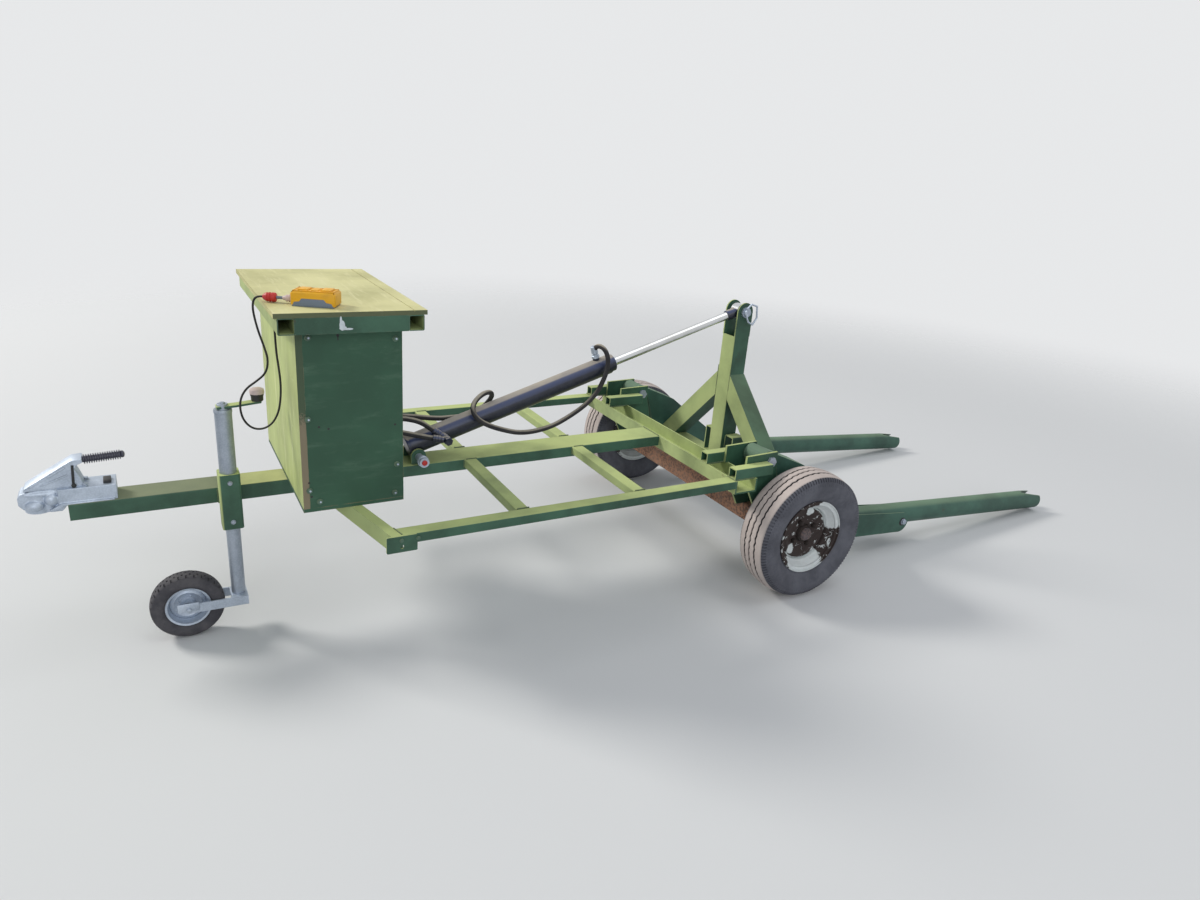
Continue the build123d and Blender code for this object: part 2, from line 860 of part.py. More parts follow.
pin_half = lug_inside + base_lug_thick
with BuildPart() as ram_pin:
    with BuildSketch(across(-pin_half)):
        with Locations((ram_base_x, ram_base_z)):
            Circle(ram_pin_radius)
    extrude(amount=-pin_half - ram_pin_reach)
    with BuildSketch(across(ram_pin_reach)):
        with Locations((ram_base_x, ram_base_z)):
            Circle(ram_collar_radius)
    extrude(amount=-ram_collar_long)
    with BuildSketch(across(-pin_half)):
        with Locations((ram_base_x, ram_base_z)):
            Circle(pin_head_radius)
    extrude(amount=pin_head_thick)
ram_pin.part.label = "ram_pin"
export_step(ram_pin.part, "parts/ram_pin.step")

# Hose fittings: a nipple on the upper port, two banjos on the base port, and a
# union inside the box that every hose ends on
rod_banjo = (rod_port_at, 0, port_high)
base_banjo = (base_port_at, port_high + nipple_radius + banjo_clear, 0)
outer_banjo = (base_port_at, base_banjo[1] + 2 * nipple_radius, 0)
base_hose_bend = (68, 39, 50)
outer_hose_bend = (50, 57, 26)
with BuildPart() as hose_fittings:
    with BuildSketch(Plane(origin=ram_point(*rod_banjo), z_dir=ram_up)):
        Circle(nipple_radius)
    extrude(amount=nipple_radius)
    with BuildSketch(Plane(origin=ram_point(base_port_at, port_high, 0), z_dir=(0, 1, 0))):
        Circle(port_radius)
    extrude(amount=outer_banjo[1] + nipple_radius - port_high)
    for banjo, bend in ((base_banjo, base_hose_bend), (outer_banjo, outer_hose_bend)):
        nipple_way = ram_point(*bend) - ram_point(*banjo)
        with BuildSketch(Plane(origin=ram_point(*banjo), z_dir=nipple_way)):
            Circle(hose_radius)
        extrude(amount=nipple_long)
    with BuildSketch(ram_section(union_at)):
        with Locations((-union_left, union_up)):
            Rectangle(union_wide, union_high)
    extrude(amount=-union_thick)
hose_fittings.part.label = "hose_fittings"
export_step(hose_fittings.part, "parts/hose_fittings.step")


def hose_start(banjo, bend):
    """Point on a banjo's nipple where its hose begins."""
    way = ram_point(*bend) - ram_point(*banjo)
    return ram_point(*banjo) + way.normalized() * nipple_long


def bend_radii(route):
    """Radius for each corner of a route, as large as its two runs allow."""
    radii = []
    for before, corner, after in zip(route, route[1:], route[2:]):
        shorter = min((corner - before).length, (after - corner).length)
        half_turn = radians((corner - before).get_angle(after - corner)) / 2
        radii.append(0.45 * shorter / tan(half_turn))
    return radii


# Hose routes from each port to the union
rod_hose_route = [
    ram_point(*spot)
    for spot in (
        (rod_port_at, 0, port_high + nipple_radius),
        (rod_port_at, 0, 76),
        (rod_port_at + 7, 15, 92),
        (rod_port_at + 16, 36, 92),
        (rod_port_at + 23, 50, 74),
        (rod_port_at + 23, 55, 46),
        (rod_port_at + 13, 58, 14),
        (rod_port_at - 11, 60, -20),
        (702, 60, -62),
        (646, 58, -92),
        (579, 56, -110),
        (500, 54, -122),
        (424, 54, -113),
        (362, 56, -91),
        (314, 59, -58),
        (276, 61, -28),
        (245, 61, 2),
        (228, 55, 30),
        (229, 41, 54),
        (246, 22, 66),
        (272, -2, 68),
        (300, -24, 66),
        (326, -46, 56),
        (345, -70, 38),
        (352, -96, 15),
        (343, -118, -9),
        (319, -131, -28),
        (285, -130, -36),
        (250, -116, -30),
        (216, -97, -15),
        (178, -76, 4),
        (132, -56, 26),
        (84, -42, 54),
        (40, -34, 80),
        (-10, -27, 106),
        (-62, -22, 122),
        (union_at, -22, 122),
    )
]
base_hose_route = [hose_start(base_banjo, base_hose_bend)] + [
    ram_point(*spot)
    for spot in (
        base_hose_bend,
        (46, 28, 79),
        (8, 15, 102),
        (-38, 6, 120),
        (-80, 4, 127),
        (union_at, 4, 127),
    )
]
outer_hose_route = [hose_start(outer_banjo, outer_hose_bend)] + [
    ram_point(*spot)
    for spot in (
        outer_hose_bend,
        (17, 43, 44),
        (-18, 37, 66),
        (-50, 31, 84),
        (-84, 28, 96),
        (union_at, 28, 96),
    )
]
for name, route in (
    ("rod_hose", rod_hose_route),
    ("base_hose", base_hose_route),
    ("return_hose", outer_hose_route),
):
    radii = bend_radii(route)
    with BuildPart() as hose:
        with BuildLine() as hose_line:
            FilletPolyline(*route, radius=radii)
        with BuildSketch(Plane(origin=route[0], z_dir=route[1] - route[0])):
            Circle(hose_radius)
        sweep()
    hose.part.label = name
    export_step(hose.part, f"parts/{name}.step")
    print(name, "radii", [round(radius) for radius in radii])
    hose_length = sum(edge.length for edge in hose_line.edges())
    print(name, "length", round(hose_length), "volume", round(hose.part.volume))

# Coupling: a pressed body on the drawbar, round at the nose, over the ball socket
coupling_end = ball_x + dome_radius
with BuildPart() as coupling_body:
    with BuildSketch(across(0)):
        with BuildLine():
            Polyline(
                (coupling_rear, frame_top),
                (coupling_rear, coupling_top),
                (ball_x + ball_radius / 2, coupling_top),
                (coupling_end, coupling_nose_high),
                (coupling_end, coupling_nose_low),
                coupling_chin,
                (drawbar_front + ball_radius, coupling_lip),
                (drawbar_front + rail_corner, coupling_lip + rail_corner),
                (drawbar_front + rail_corner, frame_top),
                close=True,
            )
        make_face()
    extrude(amount=coupling_wide, both=True)
    with BuildSketch(Plane.XY.offset(coupling_lip)):
        with Locations((ball_x, 0)):
            Circle(dome_radius)
        with Locations(((coupling_rear + ball_x) / 2, 0)):
            Rectangle(ball_x - coupling_rear, coupling_wide)
    extrude(amount=coupling_top - coupling_lip, mode=Mode.INTERSECT)
    with Locations((ball_x, 0, ball_z)):
        Sphere(ball_radius, mode=Mode.SUBTRACT)
        Cylinder(
            ball_radius,
            ball_z - coupling_lip,
            align=(Align.CENTER, Align.CENTER, Align.MAX),
            mode=Mode.SUBTRACT,
        )
coupling_body.part.label = "coupling_body"
export_step(coupling_body.part, "parts/coupling_body.step")

# Coupling lever: a cover that rises from the nose to a round grip
with BuildPart() as coupling_lever:
    with BuildSketch(across(0)):
        with BuildLine():
            Polyline(
                (lever_front, coupling_top),
                (lever_crest[0], lever_top),
                (lever_crest[1], lever_top),
                (lever_rear, coupling_top),
                close=True,
            )
        make_face()
    extrude(amount=lever_wide / 2, both=True)
    grip = Plane(
        origin=(grip_x, 0, grip_z),
        x_dir=(0, 1, 0),
        z_dir=(-cos(radians(grip_tilt)), 0, sin(radians(grip_tilt))),
    )
    with BuildSketch(grip):
        Circle(grip_radius)
    extrude(amount=grip_long)
coupling_lever.part.label = "coupling_lever"
export_step(coupling_lever.part, "parts/coupling_lever.step")

# Jockey wheel: clamp socket on the drawbar's side, with a tube that a screw drives
jockey_x = box_front + jockey_ahead
jockey_y = drawbar_wide / 2 + jockey_gap + socket_size / 2
with BuildPart() as jockey_socket:
    with BuildSketch(Plane.XY.offset(socket_bottom)):
        with Locations((jockey_x, jockey_y)):
            RectangleRounded(socket_size, socket_size, socket_corner)
            Circle(socket_size / 2 - socket_wall, mode=Mode.SUBTRACT)
    extrude(amount=socket_top - socket_bottom)
    with BuildSketch(across(jockey_y - socket_size / 2)):
        with Locations((jockey_x, frame_top - drawbar_high / 2)):
            Rectangle(socket_size, drawbar_high)
    extrude(amount=jockey_gap)
jockey_socket.part.label = "jockey_socket"
export_step(jockey_socket.part, "parts/jockey_socket.step")

jockey_bore = jockey_tube_radius - jockey_tube_wall
cap_thick = 8
with BuildPart() as jockey_tube:
    with BuildSketch(Plane.XY.offset(jockey_tube_bottom)):
        with Locations((jockey_x, jockey_y)):
            Circle(jockey_tube_radius)
            Circle(jockey_bore, mode=Mode.SUBTRACT)
    extrude(amount=jockey_tube_top - jockey_tube_bottom)
    with BuildSketch(Plane.XY.offset(jockey_tube_top - cap_thick)):
        with Locations((jockey_x, jockey_y)):
            Circle(jockey_tube_radius)
    extrude(amount=cap_thick)
jockey_tube.part.label = "jockey_tube"
export_step(jockey_tube.part, "parts/jockey_tube.step")

with BuildPart() as jockey_crank:
    with BuildSketch(Plane.XY.offset(jockey_tube_top)):
        with Locations((jockey_x, jockey_y)):
            Circle(2 * crank_rod)
    extrude(amount=3 * crank_rod)
    with BuildSketch(Plane.XY.offset(jockey_tube_top + crank_rod)):
        with Locations((jockey_x - crank_long / 2, jockey_y)):
            SlotOverall(crank_long + 4 * crank_rod, 3 * crank_rod)
    extrude(amount=crank_rod)
    with BuildSketch(Plane.XY.offset(jockey_tube_top + 2 * crank_rod)):
        with Locations((jockey_x - crank_long, jockey_y)):
            Circle(knob_radius)
    extrude(amount=knob_long)
jockey_crank.part.label = "jockey_crank"
export_step(jockey_crank.part, "parts/jockey_crank.step")

crown_top = jockey_radius + crown_gap
with BuildPart() as jockey_leg:
    with BuildSketch(Plane.XY.offset(crown_top)):
        with Locations((jockey_x, jockey_y)):
            Circle(jockey_bore - leg_tube_fit)
    extrude(amount=leg_tube_top - crown_top)
jockey_leg.part.label = "jockey_leg"
export_step(jockey_leg.part, "parts/jockey_leg.step")

fork_half = jockey_wide / 2 + fork_gap + fork_thick
fork_plane_y = (jockey_y + fork_half - fork_thick / 2, jockey_y - fork_half + fork_thick / 2)
axle_long_x = jockey_x + jockey_trail
with BuildPart() as jockey_fork:
    with BuildSketch(Plane.XY.offset(crown_top - crown_thick)):
        with Locations((jockey_x, jockey_y)):
            SlotOverall(2 * fork_half, 2 * jockey_tube_radius, rotation=90)
            with Locations((0, 0)):
                Rectangle(2 * jockey_tube_radius, 2 * fork_half)
    extrude(amount=crown_thick)
    for plate_y in fork_plane_y:
        with BuildSketch(across(plate_y)):
            with BuildLine():
                Polyline(
                    (jockey_x - jockey_tube_radius, crown_top),
                    (jockey_x + jockey_tube_radius, crown_top),
                    (axle_long_x, jockey_radius + 2 * jockey_axle_radius),
                )
                ThreePointArc(
                    (axle_long_x, jockey_radius + 2 * jockey_axle_radius),
                    (axle_long_x + 2 * jockey_axle_radius, jockey_radius),
                    (axle_long_x, jockey_radius - 2 * jockey_axle_radius),
                )
                Polyline(
                    (axle_long_x, jockey_radius - 2 * jockey_axle_radius),
                    (jockey_x - jockey_tube_radius, crown_top - 3 * crown_thick),
                    (jockey_x - jockey_tube_radius, crown_top),
                )
            make_face()
        extrude(amount=fork_thick / 2, both=True)
    with BuildSketch(across(jockey_y)):
        with Locations((axle_long_x, jockey_radius)):
            Circle(jockey_axle_radius)
    extrude(amount=fork_half + fork_thick, both=True)
jockey_fork.part.label = "jockey_fork"
export_step(jockey_fork.part, "parts/jockey_fork.step")

jockey_middle = Vector(axle_long_x, jockey_y, jockey_radius)
jockey_section = Plane(origin=jockey_middle, x_dir=(0, 1, 0), z_dir=(1, 0, 0))
jockey_axis = Axis(jockey_middle, (0, 1, 0))
with BuildPart() as jockey_tyre:
    with BuildSketch(jockey_section):
        with Locations((0, (jockey_radius + jockey_rim_radius) / 2)):
            tread_size = (jockey_wide, jockey_radius - jockey_rim_radius)
            RectangleRounded(*tread_size, jockey_tyre_corner)
    revolve(axis=jockey_axis)
jockey_tyre.part.label = "jockey_tyre"
export_step(jockey_tyre.part, "parts/jockey_tyre.step")

with BuildPart() as jockey_rim:
    with BuildSketch(jockey_section):
        jockey_bush = jockey_axle_radius + stub_axle_fit
        with Locations((0, jockey_rim_radius - rim_wall)):
            Rectangle(2 * jockey_tread_half, 2 * rim_wall)
        with Locations((0, (jockey_rim_radius + jockey_bush) / 2)):
            Rectangle(2 * rim_wall, jockey_rim_radius - jockey_bush)
        with Locations((0, jockey_bush + 2 * rim_wall)):
            Rectangle(jockey_wide, 4 * rim_wall)
    revolve(axis=jockey_axis)
jockey_rim.part.label = "jockey_rim"
export_step(jockey_rim.part, "parts/jockey_rim.step")

# Control box: wall panels on a floor board, hollow, with one block for each heavy unit
box_top = lid_frame_bottom + lid_tube - lid_seat
box_long = box_front - box_rear
box_middle = (box_front + box_rear) / 2
side_front = box_front - front_thick
for name, side in (("near", 1), ("far", -1)):
    with BuildPart() as panel:
        with BuildSketch(across(side * (box_half - panel_thick / 2))):
            with Locations(((side_front + box_rear) / 2, (box_bottom + box_top) / 2)):
                Rectangle(side_front - box_rear, box_top - box_bottom)
        extrude(amount=panel_thick / 2, both=True)
    panel.part.label = f"{name}_panel"
    export_step(panel.part, f"parts/{name}_panel.step")

with BuildPart() as front_panel:
    with BuildSketch(Plane.YZ.offset(side_front)):
        with Locations((0, (box_bottom + box_top) / 2)):
            Rectangle(2 * box_half, box_top - box_bottom)
    extrude(amount=front_thick)
front_panel.part.label = "front_panel"
export_step(front_panel.part, "parts/front_panel.step")

with BuildPart() as rear_panel:
    with BuildSketch(Plane.YZ.offset(box_rear)):
        with Locations((0, (box_bottom + box_top) / 2)):
            Rectangle(2 * (box_half - panel_thick), box_top - box_bottom)
        with Locations((0, hose_slot_low + hose_slot_high / 2)):
            Rectangle(2 * hose_slot_half, hose_slot_high, mode=Mode.SUBTRACT)
    extrude(amount=panel_thick)
rear_panel.part.label = "rear_panel"
export_step(rear_panel.part, "parts/rear_panel.step")

with BuildPart() as box_floor:
    with BuildSketch(Plane.XY.offset(box_bottom - floor_thick)):
        with Locations((box_middle, 0)):
            Rectangle(box_long, 2 * box_half)
    extrude(amount=floor_thick)
box_floor.part.label = "box_floor"
export_step(box_floor.part, "parts/box_floor.step")

pack_spare = 93
pack_size = (box_long - pack_spare, 230, 240)
with BuildPart() as power_pack:
    with Locations((box_middle, box_half / 2, box_bottom)):
        Box(*pack_size, align=(Align.CENTER, Align.CENTER, Align.MIN))
power_pack.part.label = "power_pack"
export_step(power_pack.part, "parts/power_pack.step")

battery_spare = 118
battery_size = (box_long - battery_spare, 240, 190)
with BuildPart() as battery:
    with Locations((box_middle, -box_half / 2, box_bottom)):
        Box(*battery_size, align=(Align.CENTER, Align.CENTER, Align.MIN))
battery.part.label = "battery"
export_step(battery.part, "parts/battery.step")

# Lid: a board on a frame of open tubes that caps the box's upper edge
cap_long = box_long + 2 * lid_gap
cap_half = box_half + lid_gap
frame_half = cap_half + lid_tube
with BuildPart() as lid_frame:
    for name, side in sides:
        tube_x = box_middle + side * (cap_long + lid_tube) / 2
        with BuildSketch(Plane.XZ):
            with Locations((tube_x, lid_frame_bottom + lid_tube / 2)):
                RectangleRounded(lid_tube, lid_tube, rail_corner)
                inner_size = lid_tube - 2 * lid_tube_wall
                Rectangle(inner_size, inner_size, mode=Mode.SUBTRACT)
        extrude(amount=frame_half, both=True)
    for name, side in sides:
        with BuildSketch(Plane.YZ.offset(box_middle - cap_long / 2)):
            with Locations((side * (cap_half + lid_tube / 2), lid_frame_bottom + lid_tube / 2)):
                Rectangle(lid_tube, lid_tube)
        extrude(amount=cap_long)
lid_frame.part.label = "lid_frame"
export_step(lid_frame.part, "parts/lid_frame.step")

lid_long = cap_long + 2 * lid_tube + 2 * lid_overhang
lid_top = lid_frame_bottom + lid_tube + lid_board
seam_x = box_middle - lid_long / 2 + lid_seam_at
with BuildPart() as lid_panel:
    with BuildSketch(Plane.XY.offset(lid_frame_bottom + lid_tube)):
        with Locations((box_middle, 0)):
            Rectangle(lid_long, 2 * frame_half)
    extrude(amount=lid_board)
    with BuildSketch(Plane.XY.offset(lid_top)):
        with Locations((seam_x, 0)):
            Rectangle(lid_seam_wide, 2 * frame_half)
    extrude(amount=-lid_seam_deep, mode=Mode.SUBTRACT)
lid_panel.part.label = "lid_panel"
export_step(lid_panel.part, "parts/lid_panel.step")

# Handset: a base and a cover, turned on the lid, with a gland at its front end
handset_way = Vector(cos(radians(handset_turn)), sin(radians(handset_turn)), 0)
handset_foot = Vector(handset_x, handset_y, lid_top)


def handset_level(height):
    """Level section at a height over the lid, turned with the handset."""
    return Plane(origin=handset_foot, x_dir=handset_way, z_dir=(0, 0, 1)).offset(height)


def lead_section(distance):
    """Section square to the lead where it leaves the handset's front end."""
    start = handset_foot + handset_way * (handset_long / 2 + distance)
    return Plane(origin=start + Vector(0, 0, lead_up), z_dir=handset_way)


with BuildPart() as handset:
    with BuildSketch(handset_level(0)):
        inset_size = (handset_long - 2 * handset_inset, handset_wide - 2 * handset_inset)
        RectangleRounded(*inset_size, handset_corner)
    extrude(amount=handset_base_high)
    with BuildSketch(handset_level(handset_base_high)):
        RectangleRounded(handset_long, handset_wide, handset_corner)
    extrude(amount=handset_high - handset_base_high)
    with BuildSketch(lead_section(-2 * handset_inset)):
        Circle(handset_gland_radius)
    extrude(amount=handset_gland_long + 2 * handset_inset)
handset.part.label = "handset"
export_step(handset.part, "parts/handset.step")

# Plug on the lead, with the short tail that joins it to the handset's gland
plug_from = handset_gland_long + tail_long
plug_end = plug_from + plug_long
with BuildPart() as lead_plug:
    with BuildSketch(lead_section(handset_gland_long)):
        Circle(tail_radius)
    extrude(amount=tail_long)
    with BuildSketch(lead_section(plug_from)):
        Circle(plug_radius)
    extrude(amount=plug_long)
lead_plug.part.label = "lead_plug"
export_step(lead_plug.part, "parts/lead_plug.step")

# Gland under the lid's front tube, where the lead goes back in
with BuildPart() as lead_gland:
    with BuildSketch(Plane.XY.offset(lid_frame_bottom - lead_gland_long)):
        with Locations((lead_end_x, lead_end_y)):
            Circle(lead_gland_radius)
    extrude(amount=lead_gland_long)
lead_gland.part.label = "lead_gland"
export_step(lead_gland.part, "parts/lead_gland.step")

# Lead: over the lid's front edge, down past the crank, and up to the gland
lead_route = [
    lead_section(plug_end).origin,
    lead_section(plug_end + plug_lead_in).origin,
] + [
    Vector(*spot)
    for spot in (
        (1440, 190.4, 1066),
        (1445, 188, 1054.5),
        (1446.5, 187, 1034),
        (1442, 187, 1002),
        (1435, 187, 968),
        (1424, 187, 930),
        (1415, 187, 890),
        (1423, 187, 853),
        (1449, 187, 831),
        (1477, 187, 813),
        (1495, 187, 785),
        (1499, 186, 750),
        (1491, 185, 715),
        (1470, 184, 690),
        (1442, 182, 684),
        (1415, 180, 697),
        (1396, 178, 728),
        (1387, 176, 770),
        (1384, 174, 818),
        (1387, 172, 868),
        (lead_end_x, lead_end_y, 914),
        (lead_end_x, lead_end_y, lid_frame_bottom - lead_gland_long),
    )
]
lead_radii = bend_radii(lead_route)
with BuildPart() as lead:
    with BuildLine() as lead_line:
        FilletPolyline(*lead_route, radius=lead_radii)
    with BuildSketch(Plane(origin=lead_route[0], z_dir=handset_way)):
        Circle(lead_radius)
    sweep()
lead.part.label = "lead"
export_step(lead.part, "parts/lead.step")
print("lead radii", [round(radius) for radius in lead_radii])
lead_length = sum(edge.length for edge in lead_line.edges())
print("lead length", round(lead_length), "volume", round(lead.part.volume))
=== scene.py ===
# %% [markdown]
# # A towed bale lifter, dressed in Blender
# The CAD model arrives as a fixed frame: every node already sits at its true
# place, in metres, with +X forward, +Y to the machine's left and the ground at
# zero. This notebook adds the finishes and the small pieces that the CAD leaves
# out, and never moves what the CAD made.

# %% Load the frame
from math import atan2, cos, hypot, pi, radians, sin

import bmesh
import bpy
from mathutils import Matrix, Vector


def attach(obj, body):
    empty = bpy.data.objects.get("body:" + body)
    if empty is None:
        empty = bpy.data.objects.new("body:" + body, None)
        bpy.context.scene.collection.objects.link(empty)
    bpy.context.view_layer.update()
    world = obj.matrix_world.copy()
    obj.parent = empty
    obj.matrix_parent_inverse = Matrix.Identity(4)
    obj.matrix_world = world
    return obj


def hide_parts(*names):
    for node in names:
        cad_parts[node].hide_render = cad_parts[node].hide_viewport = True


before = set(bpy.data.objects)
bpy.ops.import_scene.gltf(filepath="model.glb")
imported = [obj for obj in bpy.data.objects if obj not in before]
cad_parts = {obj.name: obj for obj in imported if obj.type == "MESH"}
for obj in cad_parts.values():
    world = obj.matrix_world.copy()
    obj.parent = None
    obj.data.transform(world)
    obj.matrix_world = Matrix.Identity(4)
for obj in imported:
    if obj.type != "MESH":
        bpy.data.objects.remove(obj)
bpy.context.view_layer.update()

# %% [markdown]
# ## The camera
# The view is from ahead of the near side, a little above the lid, through a
# 24 mm lens on a full frame. A track-to constraint could aim the camera, but the
# horizon leans by a few degrees and such an aim would lose that, so the three
# directions of the camera are written out.

# %% Camera
LENS_MM = 24.377
SENSOR_MM = 36.0
camera_at = Vector((1.73503, 2.57725, 1.51305))
camera_right = Vector((-0.86932, 0.48849, 0.07529))
camera_up = Vector((-0.10764, -0.33578, 0.93576))
camera_back = Vector((0.48239, 0.80537, 0.34448))

bpy.ops.object.camera_add()
camera = bpy.context.object
camera.name = "view_camera"
camera.data.lens = LENS_MM
camera.data.sensor_width = SENSOR_MM
axes = Matrix((camera_right, camera_up, camera_back)).transposed()
camera.matrix_world = Matrix.Translation(camera_at) @ axes.to_4x4()
bpy.context.scene.camera = camera
print("camera at", tuple(camera_at))

# %% [markdown]
# ## Three soft lamps
# Low sun from the far front lights the top and the front of the real machine,
# and the near side lies in open shade. A sun lamp would draw hard shadows. A big
# soft key from the same side keeps the reading without them, a broad fill holds
# the near side up, and a third lamp lights the floor from above.

# %% Lamps
scene = bpy.context.scene
scene.view_settings.view_transform = "Standard"
LAMP_AIM = Vector((0, 0, 0.4))


def soft_lamp(name, place, size, power, colour):
    """One square area lamp that looks at the middle of the machine."""
    bpy.ops.object.light_add(type="AREA", location=place)
    lamp = bpy.context.object
    lamp.name = name
    lamp.data.shape = "SQUARE"
    lamp.data.size = size
    lamp.data.energy = power
    lamp.data.color = colour
    aim = LAMP_AIM - Vector(place)
    lamp.rotation_euler = aim.to_track_quat("-Z", "Y").to_euler()


soft_lamp("key_lamp", (11.0, -9.5, 10.5), 4.2, 1950, (1.0, 0.97, 0.91))
soft_lamp("fill_lamp", (4.0, 13.0, 6.4), 10.0, 560, (0.95, 0.98, 1.0))
soft_lamp("top_lamp", (-3.0, 1.0, 11.0), 9.0, 300, (1.0, 1.0, 1.0))

# %% [markdown]
# ## A pale room
# The room has to do two things: light the machine a little, and stand behind it
# as a pale backdrop. One brightness can't do both well, so the world holds two
# backgrounds. The camera, mirrors and glass see the backdrop, and everything
# else gets the dimmer room light.

# %% World
world = bpy.data.worlds.new("pale_room")
scene.world = world
world.use_nodes = True
sky = world.node_tree.nodes
room_light = sky["Background"]
room_light.inputs["Color"].default_value = (0.86, 0.90, 0.96, 1)
room_light.inputs["Strength"].default_value = 0.36
backdrop = sky.new("ShaderNodeBackground")
backdrop.inputs["Color"].default_value = (0.80, 0.81, 0.82, 1)
ray = sky.new("ShaderNodeLightPath")
pick = sky.new("ShaderNodeMixShader")
seen, looked_at = (sky.new("ShaderNodeMath") for _ in range(2))
seen.operation = looked_at.operation = "MAXIMUM"
for start, end in (
    (ray.outputs["Is Camera Ray"], seen.inputs[0]),
    (ray.outputs["Is Transmission Ray"], seen.inputs[1]),
    (seen.outputs[0], looked_at.inputs[0]),
    (ray.outputs["Is Glossy Ray"], looked_at.inputs[1]),
    (looked_at.outputs[0], pick.inputs["Fac"]),
    (room_light.outputs[0], pick.inputs[1]),
    (backdrop.outputs[0], pick.inputs[2]),
    (pick.outputs[0], sky["World Output"].inputs["Surface"]),
):
    world.node_tree.links.new(start, end)
print("world", world.name, "with", len(sky), "nodes")

# %% [markdown]
# ## Shader maths as plain expressions
# A finish is a small program: noise, masks and mixes. Writing it as Python
# expressions is easier to read than a pile of node calls, so one class wraps a
# socket and turns each operator into a Math node. A second class holds one
# material and adds its nodes: noise, cells, masks by face direction, and edges.


# %% A socket that does maths
class Wire:
    """An output socket that can be added, multiplied and compared."""

    def __init__(self, finish, socket):
        self.finish = finish
        self.socket = socket

    def math(self, operation, *others, clamp=False):
        """A Math node of this socket and the others, in that order."""
        sockets = dict(enumerate((self, *others)))
        settings = {"operation": operation, "use_clamp": clamp}
        return self.finish.node("ShaderNodeMath", settings, sockets)

    def __add__(self, other):
        return self.math("ADD", other)

    def __sub__(self, other):
        return self.math("SUBTRACT", other)

    def __rsub__(self, other):
        return self.finish.node(
            "ShaderNodeMath", {"operation": "SUBTRACT"}, {0: other, 1: self}
        )

    def __mul__(self, other):
        return self.math("MULTIPLY", other)

    def __truediv__(self, other):
        return self.math("DIVIDE", other)

    __radd__ = __add__
    __rmul__ = __mul__

    def held(self):
        """This value, held between 0 and 1."""
        return self.math("ADD", 0, clamp=True)

    def above(self, low, high):
        """0 below low and 1 above high, with a soft step between them."""
        settings = {"interpolation_type": "SMOOTHSTEP"}
        sockets = {"Value": self, "From Min": low, "From Max": high}
        return self.finish.node("ShaderNodeMapRange", settings, sockets)


print("Wire ready")


# %% One finish
class Finish:
    """One material: its shader and short ways to add the nodes that feed it."""

    def __init__(self, name):
        self.material = bpy.data.materials.new(name)
        self.material.use_nodes = True
        self.tree = self.material.node_tree
        self.shader = self.tree.nodes["Principled BSDF"]
        self.place = self.node("ShaderNodeTexCoord", output="Object")

    def node(self, kind, settings=(), sockets=(), output=0):
        """A node of this type, with its settings first and then its sockets."""
        made = self.tree.nodes.new(kind)
        for name, value in dict(settings).items():
            setattr(made, name, value)
        for name, value in dict(sockets).items():
            self.plug(made.inputs[name], value)
        return Wire(self, made.outputs[output])

    def plug(self, socket, value):
        """Links a wire to a socket, or sets the socket's own number."""
        if isinstance(value, Wire):
            self.tree.links.new(value.socket, socket)
        else:
            socket.default_value = value

    def noise(self, scale, detail=3.0, rough=0.55, bend=0.0, along=None):
        """Cloudy noise from 0 to 1, by the piece's own coordinates in metres."""
        sockets = {
            "Vector": along or self.place,
            "Scale": scale,
            "Detail": detail,
            "Roughness": rough,
            "Distortion": bend,
        }
        return self.node("ShaderNodeTexNoise", {}, sockets)

    def cells(self, scale):
        """Distance to the nearest scattered point."""
        return self.node("ShaderNodeTexVoronoi", {}, {"Vector": self.place, "Scale": scale})

    def stretched(self, x, y, z):
        """The coordinates, multiplied on each axis."""
        sockets = {0: self.place, 1: (x, y, z)}
        return self.node("ShaderNodeVectorMath", {"operation": "MULTIPLY"}, sockets)

    def mix(self, share, first, second):
        """A colour between two colours."""
        sockets = {0: share, 6: first, 7: second}
        return self.node("ShaderNodeMix", {"data_type": "RGBA"}, sockets, output=2)

    def part_of(self, axis, vector=None):
        """One part of a vector, or of the piece's own coordinates in metres."""
        return self.node("ShaderNodeSeparateXYZ", {}, {0: vector or self.place}, output=axis)

    def facing(self, axis):
        """How far the surface looks along an axis, from -1 to 1."""
        return self.part_of(axis, self.node("ShaderNodeNewGeometry", output="Normal"))

    def up(self, low=0.35, high=0.9):
        """1 where a face looks up, 0 where it looks sideways or down."""
        return self.facing("Z").above(low, high)

    def ahead(self):
        """1 where a face looks forward, to the coupling."""
        return self.facing("X").above(0.30, 0.85)

    def sideways(self):
        """1 where a face looks to the left or right."""
        return self.facing("Y").math("ABSOLUTE").above(0.5, 0.9)

    def edges(self, width):
        """1 along the sharp edges of a piece, fading over a width in metres."""
        soft = self.node("ShaderNodeBevel", {"samples": 6}, {"Radius": width})
        flat = self.node("ShaderNodeNewGeometry", output="True Normal")
        sockets = {0: soft, 1: flat}
        settings = {"operation": "DOT_PRODUCT"}
        same = self.node("ShaderNodeVectorMath", settings, sockets, output="Value")
        return (1 - same).above(0.01, 0.16)

    def bump(self, height, distance, strength):
        """Turns a height into a bent normal."""
        sockets = {"Height": height, "Distance": distance, "Strength": strength}
        return self.node("ShaderNodeBump", {}, sockets)

    def wear(self, **sockets):
        """Feeds the shader: base_color becomes Base Color, and so on."""
        for name, value in sockets.items():
            words = name.replace("_", " ").title().replace("Ior", "IOR")
            self.plug(self.shader.inputs[words], value)
        return self.material


def toned(base, factor, lift=0.0):
    """A darker or lighter tone of a colour."""
    return [min(1, factor * part + lift) for part in base[:3]] + [1]


print("Finish ready")

# %% [markdown]
# ## Ways to model by hand
# Each small piece starts as a primitive at its size and place, and is shaped in
# edit mode. These helpers do what the mouse would do: select one piece, grab
# the faces in one place, and round its edges with a bevel.


